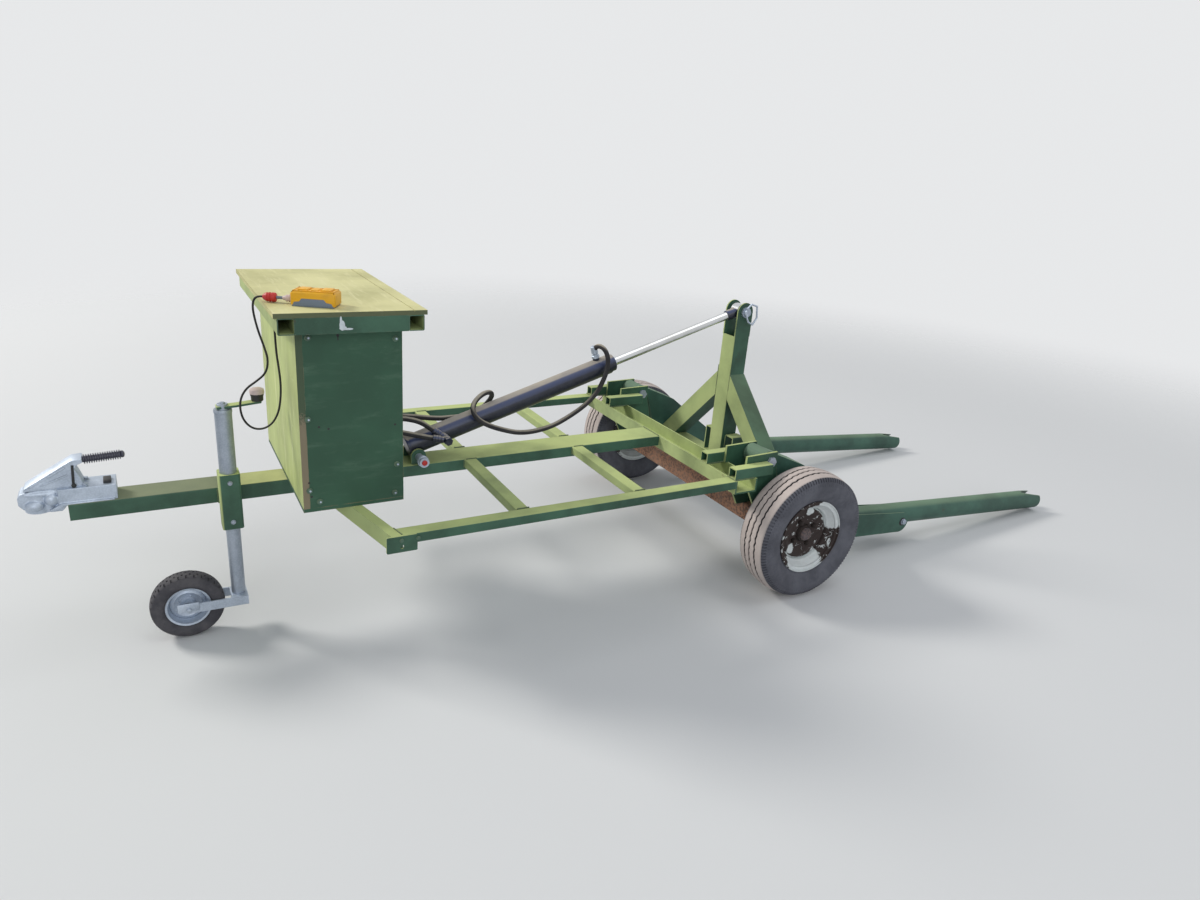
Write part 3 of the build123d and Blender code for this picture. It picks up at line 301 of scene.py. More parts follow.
# %% Start and select
def alone(piece):
    """Selects one piece only and makes it active."""
    bpy.ops.object.select_all(action="DESELECT")
    piece.select_set(True)
    bpy.context.view_layer.objects.active = piece


def begin(add, name, **settings):
    """A fresh primitive, selected alone, whose mesh already holds its place."""
    bpy.ops.object.select_all(action="DESELECT")
    add(**settings)
    bpy.context.object.name = name
    bpy.ops.object.transform_apply(location=True, rotation=True, scale=True)
    return bpy.context.object


print("alone and begin ready")


# %% Grab faces
def grab_faces(piece, test):
    """In edit mode, selects the faces that pass a test."""
    alone(piece)
    bpy.ops.object.mode_set(mode="EDIT")
    bpy.ops.mesh.select_mode(type="FACE")
    bpy.ops.mesh.select_all(action="DESELECT")
    for face in bmesh.from_edit_mesh(piece.data).faces:
        if test(face):
            face.select_set(True)
    bmesh.update_edit_mesh(piece.data)


def grab_all():
    """In edit mode, selects the whole of the active piece."""
    bpy.ops.object.mode_set(mode="EDIT")
    bpy.ops.mesh.select_all(action="SELECT")


def middle_of(face):
    """The middle of a face."""
    return sum((vert.co for vert in face.verts), Vector()) / len(face.verts)


def let_go():
    """Back to object mode."""
    bpy.ops.object.mode_set(mode="OBJECT")


def raise_top(piece, inset, lift):
    """Insets the faces that look up, and lifts the inner ones."""
    grab_faces(piece, lambda face: face.normal.z > 0.9)
    bpy.ops.mesh.inset(thickness=inset)
    bpy.ops.transform.translate(value=(0, 0, lift))
    let_go()


print("grab_faces, grab_all, middle_of, let_go and raise_top ready")


# %% Clean and round
def cleaned(piece):
    """Merges doubles and turns all faces outward."""
    alone(piece)
    grab_all()
    bpy.ops.mesh.remove_doubles(threshold=0.00002)
    bpy.ops.mesh.normals_make_consistent(inside=False)
    let_go()
    return piece


def modified(piece, kind, **settings):
    """Adds one modifier with its settings to a piece, and applies it."""
    alone(piece)
    modifier = piece.modifiers.new(kind.lower(), kind)
    for name, value in settings.items():
        setattr(modifier, name, value)
    bpy.ops.object.modifier_apply(modifier=modifier.name)
    return piece


def rounded(piece, width, segments=2):
    """Rounds every edge sharper than 30 degrees."""
    sharp = {"limit_method": "ANGLE", "angle_limit": radians(30)}
    return modified(piece, "BEVEL", width=width, segments=segments, **sharp)


print("cleaned, modified and rounded ready")

# %% [markdown]
# ## Turned, joined and repeated pieces
# Whatever a lathe would make is one outline spun about its axle: a tyre, a hub,
# a knob. What repeats is modelled once and copied, each copy with its own mesh.
# A finished piece then has its transform applied, gets its finish, and rides on
# its body.


# %% Turned pieces
def outlined(points, side=1):
    """Millimetres to metres, mirrored for the right-hand wheel."""
    return [(side * across / 1000, radius / 1000) for across, radius in points]


def turned(name, outline, centre, steps, along=(0, 1, 0), out=(0, 0, 1)):
    """Spins a closed outline of (along, radius) points, in metres, about an axle."""
    piece = begin(bpy.ops.mesh.primitive_circle_add, name, vertices=len(outline))
    for vert, (reach, radius) in zip(piece.data.vertices, outline):
        vert.co = Vector(centre) + Vector(along) * reach + Vector(out) * radius
    grab_all()
    bpy.ops.mesh.spin(steps=steps, angle=2 * pi, center=centre, axis=along)
    let_go()
    return cleaned(piece)


def upright(name, profile, foot, steps):
    """A piece of (height, radius) points, in millimetres, turned about an upright axle."""
    return turned(name, outlined(profile), Vector(foot), steps, along=(0, 0, 1), out=(1, 0, 0))


print("outlined, turned and upright ready")


# %% Joined and repeated pieces
def joined(pieces, name):
    """Several pieces as one mesh."""
    alone(pieces[0])
    for piece in pieces:
        piece.select_set(True)
    bpy.ops.object.join()
    bpy.context.object.name = name
    return bpy.context.object


def scattered(master, spots, name):
    """Copies of one small piece at each (place, direction), joined; the first one goes."""
    copies = []
    for place, way in spots:
        twin = master.copy()
        twin.data = master.data.copy()
        bpy.context.collection.objects.link(twin)
        turn = Vector(way).to_track_quat("Z", "Y").to_matrix().to_4x4()
        twin.matrix_world = Matrix.Translation(place) @ turn
        copies.append(twin)
    bpy.data.objects.remove(master)
    return joined(copies, name)


print("joined and scattered ready")


# %% A finished piece
def settled(piece, finish, body, nodes="", smooth=35):
    """A finished piece: transform applied, smooth, in its finish, on its body."""
    alone(piece)
    bpy.ops.object.transform_apply(location=True, rotation=True, scale=True)
    bpy.ops.object.shade_smooth_by_angle(angle=radians(smooth))
    piece.data.materials.clear()
    piece.data.materials.append(finish)
    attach(piece, body)
    if nodes:
        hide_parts(*nodes.split())
    return piece


print("settled ready")

# %% [markdown]
# ## Floor
# A plain pale floor only has to catch the shadow. A curved studio sweep would
# hide the horizon from one side only, so the floor is a flat plane that fades
# out into the backdrop a few metres from the machine, which works from any side.

# %% Floor
FADE_FROM, FADE_TO = 3.2, 7.5
bpy.ops.object.select_all(action="DESELECT")
bpy.ops.mesh.primitive_plane_add(size=60, location=(0, 0, 0))
floor = bpy.context.object
floor.name = "floor"
pale = Finish("pale_floor")
pale.wear(base_color=(0.70, 0.71, 0.72, 1), roughness=0.9)
from_middle = pale.node(
    "ShaderNodeVectorMath", {"operation": "LENGTH"}, {0: pale.place}, output="Value"
)
nothing = pale.node("ShaderNodeBsdfTransparent")
paint = Wire(pale, pale.shader.outputs[0])
share = from_middle.above(FADE_FROM, FADE_TO)
faded = pale.node("ShaderNodeMixShader", {}, {0: share, 1: paint, 2: nothing})
pale.plug(pale.tree.nodes["Material Output"].inputs["Surface"], faded)
floor.data.materials.append(pale.material)
print("floor fades from", FADE_FROM, "to", FADE_TO, "m")

# %% [markdown]
# ## Green machine paint
# The frame, the mast and the arms wear one brushed coat of dark green. Faces
# that look up or forward are paler and yellower, partly with dust and partly as
# painted sunlight from the far front. Edges are rubbed lighter with a little
# rust, and the brush leaves faint streaks. A painted texture could hold all
# that, but it would need unwrapped pieces. Masks from noise, face direction and
# edges need none, and because they hang on the piece's own coordinates, they
# don't slide. The drawbar's front end is duller, as painted shade.

# %% Green paint
RUST = (0.105, 0.042, 0.018, 1)
SHADE_FROM, SHADE_TO = 1.48, 1.56


def painted_steel(name, base, lit_dust_tone, lit_dust_share, rust_share, shaded_front_tone=None):
    """Brushed machine paint: tops and fronts paled by dust and painted sunlight, rubbed edges, rust
    specks.
    """
    coat = Finish(name)
    # Towards the front end the pale tone gives way to a duller one: painted shade.
    if shaded_front_tone:
        lit_dust_tone = coat.mix(coat.part_of("X").above(SHADE_FROM, SHADE_TO), lit_dust_tone, shaded_front_tone)
    cloud = coat.noise(5.5, detail=5, rough=0.6)
    grain = coat.noise(160, detail=3, rough=0.6)
    drift = coat.noise(1.6, detail=2)
    dark, light = toned(base, 0.72), toned(base, 1.35, 0.006)
    body = coat.mix(cloud.above(0.32, 0.70), dark, light)
    body = coat.mix(grain.above(0.45, 0.75) * 0.22, body, light)
    # Faces that look up or forward take the pale tone: dust, and painted sunlight.
    lit_and_dusty_faces = (coat.up(0.66, 0.92) + coat.ahead() * 0.85).held()
    dust_and_sunlight = lit_and_dusty_faces * (0.45 + 0.55 * (cloud * 0.7 + drift * 0.6).above(0.30, 0.80))
    lit_and_dusty = coat.mix((dust_and_sunlight * lit_dust_share).held(), body, lit_dust_tone)
    rubbed = coat.edges(0.0035) * coat.noise(38, detail=4).above(0.42, 0.62)
    shine = coat.mix(rubbed * 0.55, lit_and_dusty, (0.20, 0.25, 0.17, 1))
    specks = coat.noise(70, detail=6, rough=0.75).above(0.69, 0.76)
    patches = coat.noise(9, detail=6, rough=0.7, bend=0.4).above(0.66, 0.74)
    rusty = ((specks * 0.55 + patches * 0.8) * rust_share).held()
    colour = coat.mix(rusty, shine, RUST)
    brush = coat.noise(1.0, detail=4, along=coat.stretched(40, 260, 260))
    level = brush * 0.35 + grain * 0.35 + cloud * 0.4 - rusty * 0.35
    return coat.wear(
        base_color=colour,
        roughness=(0.44 + dust_and_sunlight * 0.30 + rusty * 0.30 + grain * 0.10).held(),
        normal=coat.bump(level, 0.0007, 0.5),
        specular_ior_level=0.42,
    )


# The third colour of each paint is its pale tone of dust and painted sunlight.
green_paint = painted_steel(
    "green_paint", (0.035, 0.098, 0.060, 1), (0.56, 0.64, 0.26, 1), 0.92, 0.55
)
arm_paint = painted_steel(
    "arm_paint", (0.034, 0.096, 0.068, 1), (0.24, 0.34, 0.22, 1), 0.55, 0.35
)
drawbar_paint = painted_steel(
    "drawbar_paint",
    (0.034, 0.094, 0.058, 1),
    (0.60, 0.61, 0.28, 1),
    0.88,
    0.7,
    # the duller tone of the drawbar's front end, a painted shade
    shaded_front_tone=(0.25, 0.27, 0.165, 1),
)
print("paints", green_paint.name, arm_paint.name, drawbar_paint.name)

# %% [markdown]
# ## Zinc plate
# The coupling, the bolts and the jockey tube are zinc plated, and the old plate
# is bluish grey and spotted. The coupling is the brightest. One function with a
# tone to choose keeps them all of one kind, where a material made by hand for
# each would drift apart.


# %% Zinc
def zinc_plate(name, tone):
    """Dull zinc with soft spangles, grey stains and fine pitting."""
    plate = Finish(name)
    spangle = plate.cells(210)
    stain = plate.noise(14, detail=6, rough=0.68)
    fine = plate.noise(340, detail=2)
    bright = (tone, tone * 1.12, tone * 1.30, 1)
    dull = (tone * 0.58, tone * 0.68, tone * 0.82, 1)
    stained = (stain.above(0.36, 0.66) * 0.42 + spangle.above(0.1, 0.8) * 0.28).held()
    colour = plate.mix(stained, bright, dull)
    grime = plate.edges(0.002) * stain.above(0.40, 0.60)
    colour = plate.mix(grime * 0.4, colour, (0.10, 0.085, 0.07, 1))
    return plate.wear(
        base_color=colour,
        metallic=(0.65 - stain.above(0.45, 0.7) * 0.3),
        roughness=(0.34 + stain * 0.22 + fine * 0.10).held(),
        normal=plate.bump(fine * 0.5 + stain * 0.5, 0.0004, 0.5),
    )


zinc = zinc_plate("bright_zinc", 0.54)
worn_zinc = zinc_plate("worn_zinc", 0.40)
bolt_steel = zinc_plate("bolt_zinc", 0.50)
print("zinc", zinc.name, worn_zinc.name, bolt_steel.name)

# %% [markdown]
# ## Rust, chrome and welds
# The axle was never painted and has gone brown, and the hubs are nearly black
# under their caps. Rust is scale over scale, so three noises of different size
# are laid over one another. The ram's rod is hard chrome, kept bright by its
# seal, so it needs little more than a film of oil. A weld is painted like the
# frame and has more rust.


# %% Rust and chrome
def rusted(name, base, scale):
    """Loose brown scale over darker rust."""
    scab = Finish(name)
    broad = scab.noise(7 * scale, detail=6, rough=0.7, bend=0.3)
    flake = scab.cells(95 * scale)
    grit = scab.noise(230 * scale, detail=4, rough=0.7)
    warm = (base[0] * 1.7, base[1] * 1.35, base[2] * 1.1, 1)
    colour = scab.mix(broad.above(0.35, 0.65), toned(base, 0.42), base)
    colour = scab.mix((grit * flake).above(0.12, 0.40) * 0.7, colour, warm)
    return scab.wear(
        base_color=colour,
        metallic=0.15,
        roughness=(0.74 + grit * 0.2).held(),
        normal=scab.bump(grit * 0.5 + flake * 0.6 + broad * 0.4, 0.0012, 0.7),
    )


def hard_chrome(name):
    """Polished rod with a thin film of oil and fine rings from the seal."""
    rod = Finish(name)
    film = rod.noise(6, detail=4)
    rings = rod.noise(1.0, detail=2, along=rod.stretched(420, 6, 420))
    colour = rod.mix(film.above(0.35, 0.75), (0.66, 0.67, 0.68, 1), (0.50, 0.50, 0.48, 1))
    return rod.wear(
        base_color=colour,
        metallic=1.0,
        roughness=(0.12 + film * 0.12 + rings * 0.05).held(),
        normal=rod.bump(rings, 0.00005, 0.4),
    )


axle_rust = rusted("axle_rust", (0.290, 0.180, 0.130, 1), 1.0)
hub_rust = rusted("hub_rust", (0.024, 0.019, 0.018, 1), 2.0)
chrome = hard_chrome("rod_chrome")
cap_paint = rusted("cap_paint", (0.120, 0.105, 0.115, 1), 1.6)
weld_paint = painted_steel("weld_paint", (0.034, 0.090, 0.050, 1), (0.38, 0.40, 0.19, 1), 0.8, 1.2)
print("metals", axle_rust.name, hub_rust.name, chrome.name, cap_paint.name, weld_paint.name)

# %% [markdown]
# ## The ram's barrel
# The barrel is blue black, glossy where rain keeps it clean, with a grey film of
# dust along its top and a painted reflection of the blue sky on its upper side.
# Masks by how far the surface looks up put the dust and the painted reflection
# in bands along it, at whatever angle it lies.

# %% Ram paint
barrel = Finish("ram_paint")
barrel_dust = barrel.up(0.72, 0.84) * (0.7 + 0.3 * barrel.noise(12, detail=5).above(0.25, 0.7))
# The blue band on the upper side is a painted reflection of the sky.
barrel_sky_reflection = barrel.up(0.20, 0.62)
barrel_cloud = barrel.noise(22, detail=5, rough=0.65)
barrel_tone = barrel.mix(
    barrel_cloud.above(0.35, 0.75), (0.010, 0.012, 0.022, 1), (0.020, 0.024, 0.042, 1)
)
barrel_tone = barrel.mix(barrel_sky_reflection * 0.8, barrel_tone, (0.050, 0.070, 0.165, 1))
barrel_scratch = barrel.noise(1, detail=5, along=barrel.stretched(9, 300, 300)).above(0.66, 0.74)
barrel_tone = barrel.mix(barrel_scratch * 0.35, barrel_tone, (0.16, 0.17, 0.18, 1))
ram_paint = barrel.wear(
    base_color=barrel.mix(barrel_dust * 0.85, barrel_tone, (0.46, 0.41, 0.33, 1)),
    roughness=(0.26 + barrel_dust * 0.45 + barrel_cloud * 0.14).held(),
    normal=barrel.bump(barrel_cloud * 0.6 + barrel_scratch * 0.3, 0.0003, 0.4),
)
print("barrel", ram_paint.name)

# %% [markdown]
# ## Painted boards
# The box is plywood under the same green, and the grain shows through the
# paint as long fine lines. The lid's board is paler, with dust along the grain,
# and the front board is paler too: their pale tones are painted sunlight, and
# the lid's side edges are darkened as painted shade. The front board has lost
# its paint along the lower part of its ends. Grain is noise that is stretched
# along one axis, which follows a board without an unwrapped image.


# %% Boards
def painted_board(name, base, pale_tone, along, streak, top_dust=0, side_tone=None, bare=None):
    """Paint over plywood: long grain lines, pale scuffs and dust on top."""
    board = Finish(name)
    grain = board.noise(1, detail=7, rough=0.66, bend=0.3, along=board.stretched(*along))
    cloud = board.noise(4.5, detail=5)
    fine = board.noise(240, detail=3)
    tone = board.mix(cloud.above(0.3, 0.7), toned(base, 0.74), base)
    tone = board.mix(grain.above(0.52, 0.72) * streak, tone, pale_tone)
    scuff = board.noise(1, detail=5, rough=0.7, along=board.stretched(9, 9, 22))
    tone = board.mix(scuff.above(0.60, 0.72) * 0.35, tone, pale_tone)
    rim = board.edges(0.004) * board.noise(26, detail=4).above(0.42, 0.6)
    tone = board.mix(rim * 0.6, tone, (0.27, 0.21, 0.12, 1))
    dust = board.up() * top_dust
    tone = board.mix((dust * cloud.above(0.1, 0.8)).held(), tone, pale_tone)
    if bare:
        worn_high = board.part_of("Z") + (fine - 0.5) * 0.1
        side_tone = board.mix(worn_high.above(0.73, 0.77), bare, side_tone)
    # Sideways faces take side_tone: painted shade along the lid's edges, and the dark tone of the
    # front board's ends.
    if side_tone:
        tone = board.mix(board.sideways() * 0.92, tone, side_tone)
    return board.wear(
        base_color=tone,
        roughness=(0.52 + cloud * 0.16 + rim * 0.2).held(),
        normal=board.bump(grain * 0.8 + fine * 0.2, 0.0009, 0.55),
        specular_ior_level=0.35,
    )


side_board = painted_board(
    "side_board", (0.041, 0.114, 0.068, 1), (0.105, 0.185, 0.125, 1), (7, 7, 30), streak=0.34
)
# The front board's pale tone is painted sunlight on the same green paint.
sunlit_front_board = painted_board(
    "sunlit_front_board",
    (0.53, 0.61, 0.24, 1),
    (0.76, 0.79, 0.44, 1),
    (46, 46, 4.5),
    streak=0.60,
    side_tone=(0.030, 0.060, 0.040, 1),
    bare=(0.21, 0.165, 0.12, 1),
)
# The lid's pale tone is painted sunlight with dust, and its side tone is painted shade on the
# board's edges.
sunlit_lid_board = painted_board(
    "sunlit_lid_board",
    (0.60, 0.58, 0.25, 1),
    (0.78, 0.74, 0.44, 1),
    (60, 5, 60),
    streak=0.6,
    top_dust=0.55,
    side_tone=(0.070, 0.090, 0.050, 1),
)
print("boards", side_board.name, sunlit_front_board.name, sunlit_lid_board.name)

# %% [markdown]
# ## Rubber and plastics
# Hoses, the lead and the jockey tyre are black rubber that has gone grey with
# road dust, and the tops of the hoses and the lead are paler still, partly with
# dust and partly as painted sunlight. The small plastics are black, orange,
# grey, red and dull pink, each a little soiled. Both are one function each,
# because only tone, dust and gloss differ, and a flat colour alone would look
# like a toy.


# %% Rubber
def rubber(name, base, dust_tone, share, lit_top_share=0.0, lie=0.35):
    """Old rubber with a film of road dust, fine checking, and tops paled by dust and painted
    sunlight.
    """
    skin = Finish(name)
    film = skin.noise(16, detail=6, rough=0.65)
    fine = skin.noise(420, detail=3, rough=0.6)
    tone = skin.mix((film.above(0.3, 0.75) * share).held(), base, dust_tone)
    tone = skin.mix(fine.above(0.55, 0.8) * 0.25, tone, dust_tone)
    # Faces that look up are paler: dust, and painted sunlight.
    dust_and_sunlight = skin.up(lie, lie + 0.45) * (0.6 + 0.4 * film.above(0.25, 0.6))
    tone = skin.mix(dust_and_sunlight * lit_top_share, tone, (0.50, 0.45, 0.36, 1))
    return skin.wear(
        base_color=tone,
        roughness=(0.66 + film * 0.2).held(),
        normal=skin.bump(fine * 0.5 + film * 0.3, 0.0005, 0.5),
        specular_ior_level=0.3,
    )


jockey_rubber = rubber("jockey_rubber", (0.050, 0.049, 0.058, 1), (0.135, 0.128, 0.135, 1), 0.7)
hose_rubber = rubber(
    "hose_rubber", (0.024, 0.023, 0.026, 1), (0.075, 0.070, 0.068, 1), 0.5, lit_top_share=0.8, lie=0.38
)
lead_sheath = rubber(
    "lead_sheath", (0.018, 0.018, 0.019, 1), (0.050, 0.048, 0.046, 1), 0.4, lit_top_share=0.15
)
print("rubber", jockey_rubber.name, hose_rubber.name, lead_sheath.name)


# %% Plastics
def plastic(name, base, gloss):
    """Moulded plastic with a fine sparkle of texture and light soiling."""
    shell = Finish(name)
    fine = shell.noise(900, detail=2)
    soil = shell.noise(35, detail=5)
    return shell.wear(
        base_color=shell.mix(soil.above(0.45, 0.75) * 0.6, base, toned(base, 0.72, 0.008)),
        roughness=(gloss + soil * 0.12 + fine * 0.08).held(),
        normal=shell.bump(fine, 0.00012, 0.4),
    )


black_plastic = plastic("black_plastic", (0.018, 0.018, 0.019, 1), 0.42)
grip_plastic = plastic("grip_plastic", (0.060, 0.060, 0.090, 1), 0.26)
orange_plastic = plastic("orange_plastic", (0.86, 0.44, 0.012, 1), 0.34)
grey_plastic = plastic("grey_plastic", (0.16, 0.20, 0.27, 1), 0.45)
red_plastic = plastic("red_plastic", (0.52, 0.028, 0.024, 1), 0.35)
pink_plastic = plastic("pink_plastic", (0.62, 0.50, 0.48, 1), 0.45)
white_paint = plastic("white_drip", (0.66, 0.72, 0.76, 1), 0.30)
screw_paint = painted_steel(
    "screw_paint", (0.075, 0.140, 0.098, 1), (0.30, 0.36, 0.20, 1), 0.5, 0.3
)
print("plastics", black_plastic.name, orange_plastic.name, grey_plastic.name, red_plastic.name)

# %% [markdown]
# ## The road tyre's rubber
# The tyre is pale on its tread, partly with dust and partly as painted sunlight,
# near black in its grooves and on the sides of its ribs as painted shade, and
# blue grey on its walls, partly as painted skylight. Three materials on three
# sets of faces would leave hard borders, so one tone follows the distance from
# the axle, with soft steps between.


# %% Tyre rubber
WHEEL_Y = 0.603
AXLE_X = -0.3435
AXLE_Z = 0.2435


def from_spot(finish, x, z):
    """Distance in side view from one point, in metres."""
    flat = finish.node(
        "ShaderNodeVectorMath",
        {"operation": "MULTIPLY_ADD"},
        {0: finish.place, 1: (1, 0, 1), 2: (-x, 0, -z)},
    )
    return finish.node("ShaderNodeVectorMath", {"operation": "LENGTH"}, {0: flat}, output="Value")


tyre = Finish("tyre_rubber")
tyre_far = from_spot(tyre, AXLE_X, AXLE_Z)
tyre_cloud = tyre.noise(13, detail=6, rough=0.66)
tyre_fine = tyre.noise(420, detail=3, rough=0.6)
# The walls' blue grey is partly painted skylight.
tyre_skylit_wall = tyre.mix(
    tyre_cloud.above(0.3, 0.7), (0.068, 0.070, 0.086, 1), (0.125, 0.128, 0.152, 1)
)
# The crown's pale tone is dust and painted sunlight.
tyre_dusty_lit_crown = tyre.mix(tyre_cloud, (0.44, 0.375, 0.35, 1), (0.64, 0.56, 0.52, 1))
tyre_across = tyre.part_of("Y").math("ABSOLUTE") - WHEEL_Y
tyre_edge = tyre_across.math("ABSOLUTE").above(0.0305, 0.0320)
# Near black in the grooves and on the ribs' sides: painted shade.
tyre_tone = tyre.mix(
    tyre_far.above(0.2325, 0.2385) * (1 - tyre_edge), tyre_skylit_wall, (0.014, 0.014, 0.015, 1)
)
tyre_lit = tyre_far.above(0.2385, 0.2412) * (1 - tyre_edge)
tyre_lit = tyre_lit + tyre_far.above(0.2346, 0.2374) * tyre_edge
tyre_tone = tyre.mix(tyre_lit.held(), tyre_tone, tyre_dusty_lit_crown)
tyre_tone = tyre.mix(tyre_fine.above(0.5, 0.8) * 0.22, tyre_tone, (0.16, 0.15, 0.14, 1))
tyre_rubber = tyre.wear(
    base_color=tyre_tone,
    roughness=(0.62 + tyre_cloud * 0.24).held(),
    normal=tyre.bump(tyre_fine * 0.5 + tyre_cloud * 0.3, 0.0005, 0.5),
    specular_ior_level=0.35,
)
print("tyre", tyre_rubber.name)

# %% [markdown]
# ## The rim's paint
# The rims were white once. Paint is left in a few patches on the outer ring and
# by two of the studs, and rust has eaten in from the hub. Noise alone would put
# patches anywhere, so each patch is a soft spot at its own place in side view,
# with noise to fray its edge.

# %% Rim paint
PAINTED_RING_FROM = 0.103
WIDE_PATCH = 0.03  # patches wider than this stay on the outer ring
rim_coat = Finish("rim_paint")
rim_eaten = rim_coat.noise(34, detail=7, rough=0.7, bend=0.6)
rim_fine = rim_coat.noise(190, detail=4)
rim_left = 0
for x, z, reach in (
    (-0.445, 0.310, 0.075), (-0.400, 0.350, 0.055), (-0.360, 0.125, 0.075),
    (-0.300, 0.140, 0.055), (-0.356, 0.331, 0.022), (-0.288, 0.188, 0.021),
):
    near = (1 - from_spot(rim_coat, x, z) / reach).held() + (rim_eaten - 0.5) * 1.45
    ring = 1
    if reach > WIDE_PATCH:
        ring = from_spot(rim_coat, AXLE_X, AXLE_Z) + rim_eaten * 0.012
        ring = ring.above(PAINTED_RING_FROM, PAINTED_RING_FROM + 0.003)
    rim_left = near.above(0.10, 0.22) * ring + rim_left
rim_left = rim_left.held()
rim_brown = rim_coat.mix(
    (rim_fine + rim_eaten * 0.6 - 0.3).held(), (0.011, 0.009, 0.009, 1), (0.052, 0.032, 0.028, 1)
)
rim_white = rim_coat.mix(rim_eaten, (0.82, 0.87, 0.88, 1), (0.50, 0.52, 0.51, 1))
rim_paint = rim_coat.wear(
    base_color=rim_coat.mix(rim_left, rim_brown, rim_white),
    roughness=(0.82 - rim_left * 0.42).held(),
    normal=rim_coat.bump(rim_left * 0.8 + rim_fine * 0.4, 0.0009, 0.7),
)
print("rim", rim_paint.name)

# %% [markdown]
# ## Hydraulic hoses
# Three hoses ride with the ram. The long one leaves the port beside the rod,
# loops down the near side, climbs over the barrel and comes forward on its far
# side. The two short ones leave the base port. A hose is one smooth NURBS line
# with the route's points as its control points, so it bends like a hose and
# not like wire. The points are measured along the ram, to the left and up from
# its middle line.

# %% Points on the ram
RAM_PIN = Vector((0.937, 0, 0.490))
ram_slope = 0.305712
ram_way = Vector((-cos(ram_slope), 0, sin(ram_slope)))
ram_up = Vector((sin(ram_slope), 0, cos(ram_slope)))
ram_foot = RAM_PIN + ram_up * 0.030


def on_ram(along, left, up):
    """A point from millimetres along the ram, to the left and above its middle line."""
    return ram_foot + ram_way * along / 1000 + Vector((0, left / 1000, 0)) + ram_up * up / 1000


print("the ram leans", round(ram_slope * 180 / pi, 2), "degrees, from", tuple(ram_foot))


# %% One cord
def tube_line(name, spots, radius, finish):
    """A smooth round cord on its control points."""
    bpy.ops.object.select_all(action="DESELECT")
    bpy.ops.curve.primitive_nurbs_path_add()
    line = bpy.context.object
    line.name = name
    line.data.splines.clear()
    spline = line.data.splines.new("NURBS")
    spline.points.add(len(spots) - 1)
    for point, spot in zip(spline.points, spots):
        point.co = (*spot, 1)
    spline.order_u = 3
    spline.use_endpoint_u = True
    spline.resolution_u = 8
    line.data.bevel_depth = radius
    line.data.bevel_resolution = 4
    line.data.use_fill_caps = True
    line.data.materials.append(finish)
    return line


print("tube_line ready")

# %% Hose routes
hose_routes = {
    "rod_hose_line": (
        (752, 0, 55), (752, 0, 76), (759, 15, 92), (768, 36, 92), (775, 50, 74), (775, 55, 46),
        (765, 58, 14), (741, 60, -20), (702, 60, -62), (646, 58, -92), (579, 56, -110),
        (500, 54, -122), (424, 54, -113), (362, 56, -91), (314, 59, -58), (276, 61, -28),
        (245, 61, 2), (228, 55, 30), (229, 41, 54), (246, 22, 66), (272, -2, 68), (300, -24, 66),
        (326, -46, 56), (345, -70, 38), (352, -96, 15), (343, -118, -9), (319, -131, -28),
        (285, -130, -36), (250, -116, -30), (216, -97, -15), (178, -76, 4), (132, -56, 26),
        (84, -42, 54), (40, -34, 80), (-10, -27, 106), (-62, -22, 122), (-118, -22, 122),
    ),
    "base_hose_line": (
        (89.5, 50.3, 20.2), (68, 39, 50), (46, 28, 79), (8, 15, 102), (-38, 6, 120),
        (-80, 4, 127), (-118, 4, 127),
    ),
    "return_hose_line": (
        (82.0, 70.0, 10.6), (50, 57, 26), (17, 43, 44), (-18, 37, 66), (-50, 31, 84),
        (-84, 28, 96), (-118, 28, 96),
    ),
}
hose_lengths = {"rod_hose_line": 1.571, "base_hose_line": 0.253, "return_hose_line": 0.227}
print("routes", {name: len(spots) for name, spots in hose_routes.items()})

# %% Hoses
for name, length in hose_lengths.items():
    spots = [on_ram(*spot) for spot in hose_routes[name]]
    hose = tube_line(name, spots, 0.009, hose_rubber)
    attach(hose, "ram")
    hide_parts(name.replace("_line", ""))
    print(name, "has", len(spots), "points")

# %% [markdown]
# ## The handset's lead
# A thin black lead hangs from a gland under the lid's front edge, swings down
# into one open loop and comes back up over the edge to the red plug. A physics
# rope could find that line, but a short list of points on one NURBS line gives
# it at once and the same each time. The lead rides with the lid.

# %% Lead
lead_spots = [
    Vector(spot) / 1000
    for spot in (
        (1391, 170, 990), (1391, 170, 914), (1387, 172, 868), (1384, 174, 818), (1387, 176, 770),
        (1396, 178, 728), (1415, 180, 697), (1442, 182, 684), (1470, 184, 690), (1491, 185, 715),
        (1499, 186, 750), (1495, 187, 785), (1477, 187, 813), (1449, 187, 831), (1423, 187, 853),
        (1415, 187, 890), (1424, 187, 930), (1435, 187, 968), (1442, 187, 1002),
        (1446.5, 187, 1034), (1445, 188, 1054.5), (1440, 190.4, 1066), (1430.6, 194.9, 1072),
        (1420.3, 200.2, 1072),
    )
]
lead = tube_line("lead_line", lead_spots, 0.003, lead_sheath)
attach(lead, "lid")
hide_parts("lead")
print("lead_line has", len(lead_spots), "points")

# %% [markdown]
# ## Outlines of the road wheel
# Each ring of the wheel is one outline of (across, radius) points, in
# millimetres. Half of the tyre and half of the rim's lip are mirrored, so both
# sides agree. The rim and its disc are pressed sheet, so they are thin closed
# outlines.


# %% Tyre outline
def opposite(points):
    """The same half outline on the other side, read backwards."""
    return tuple((-across, radius) for across, radius in reversed(points))


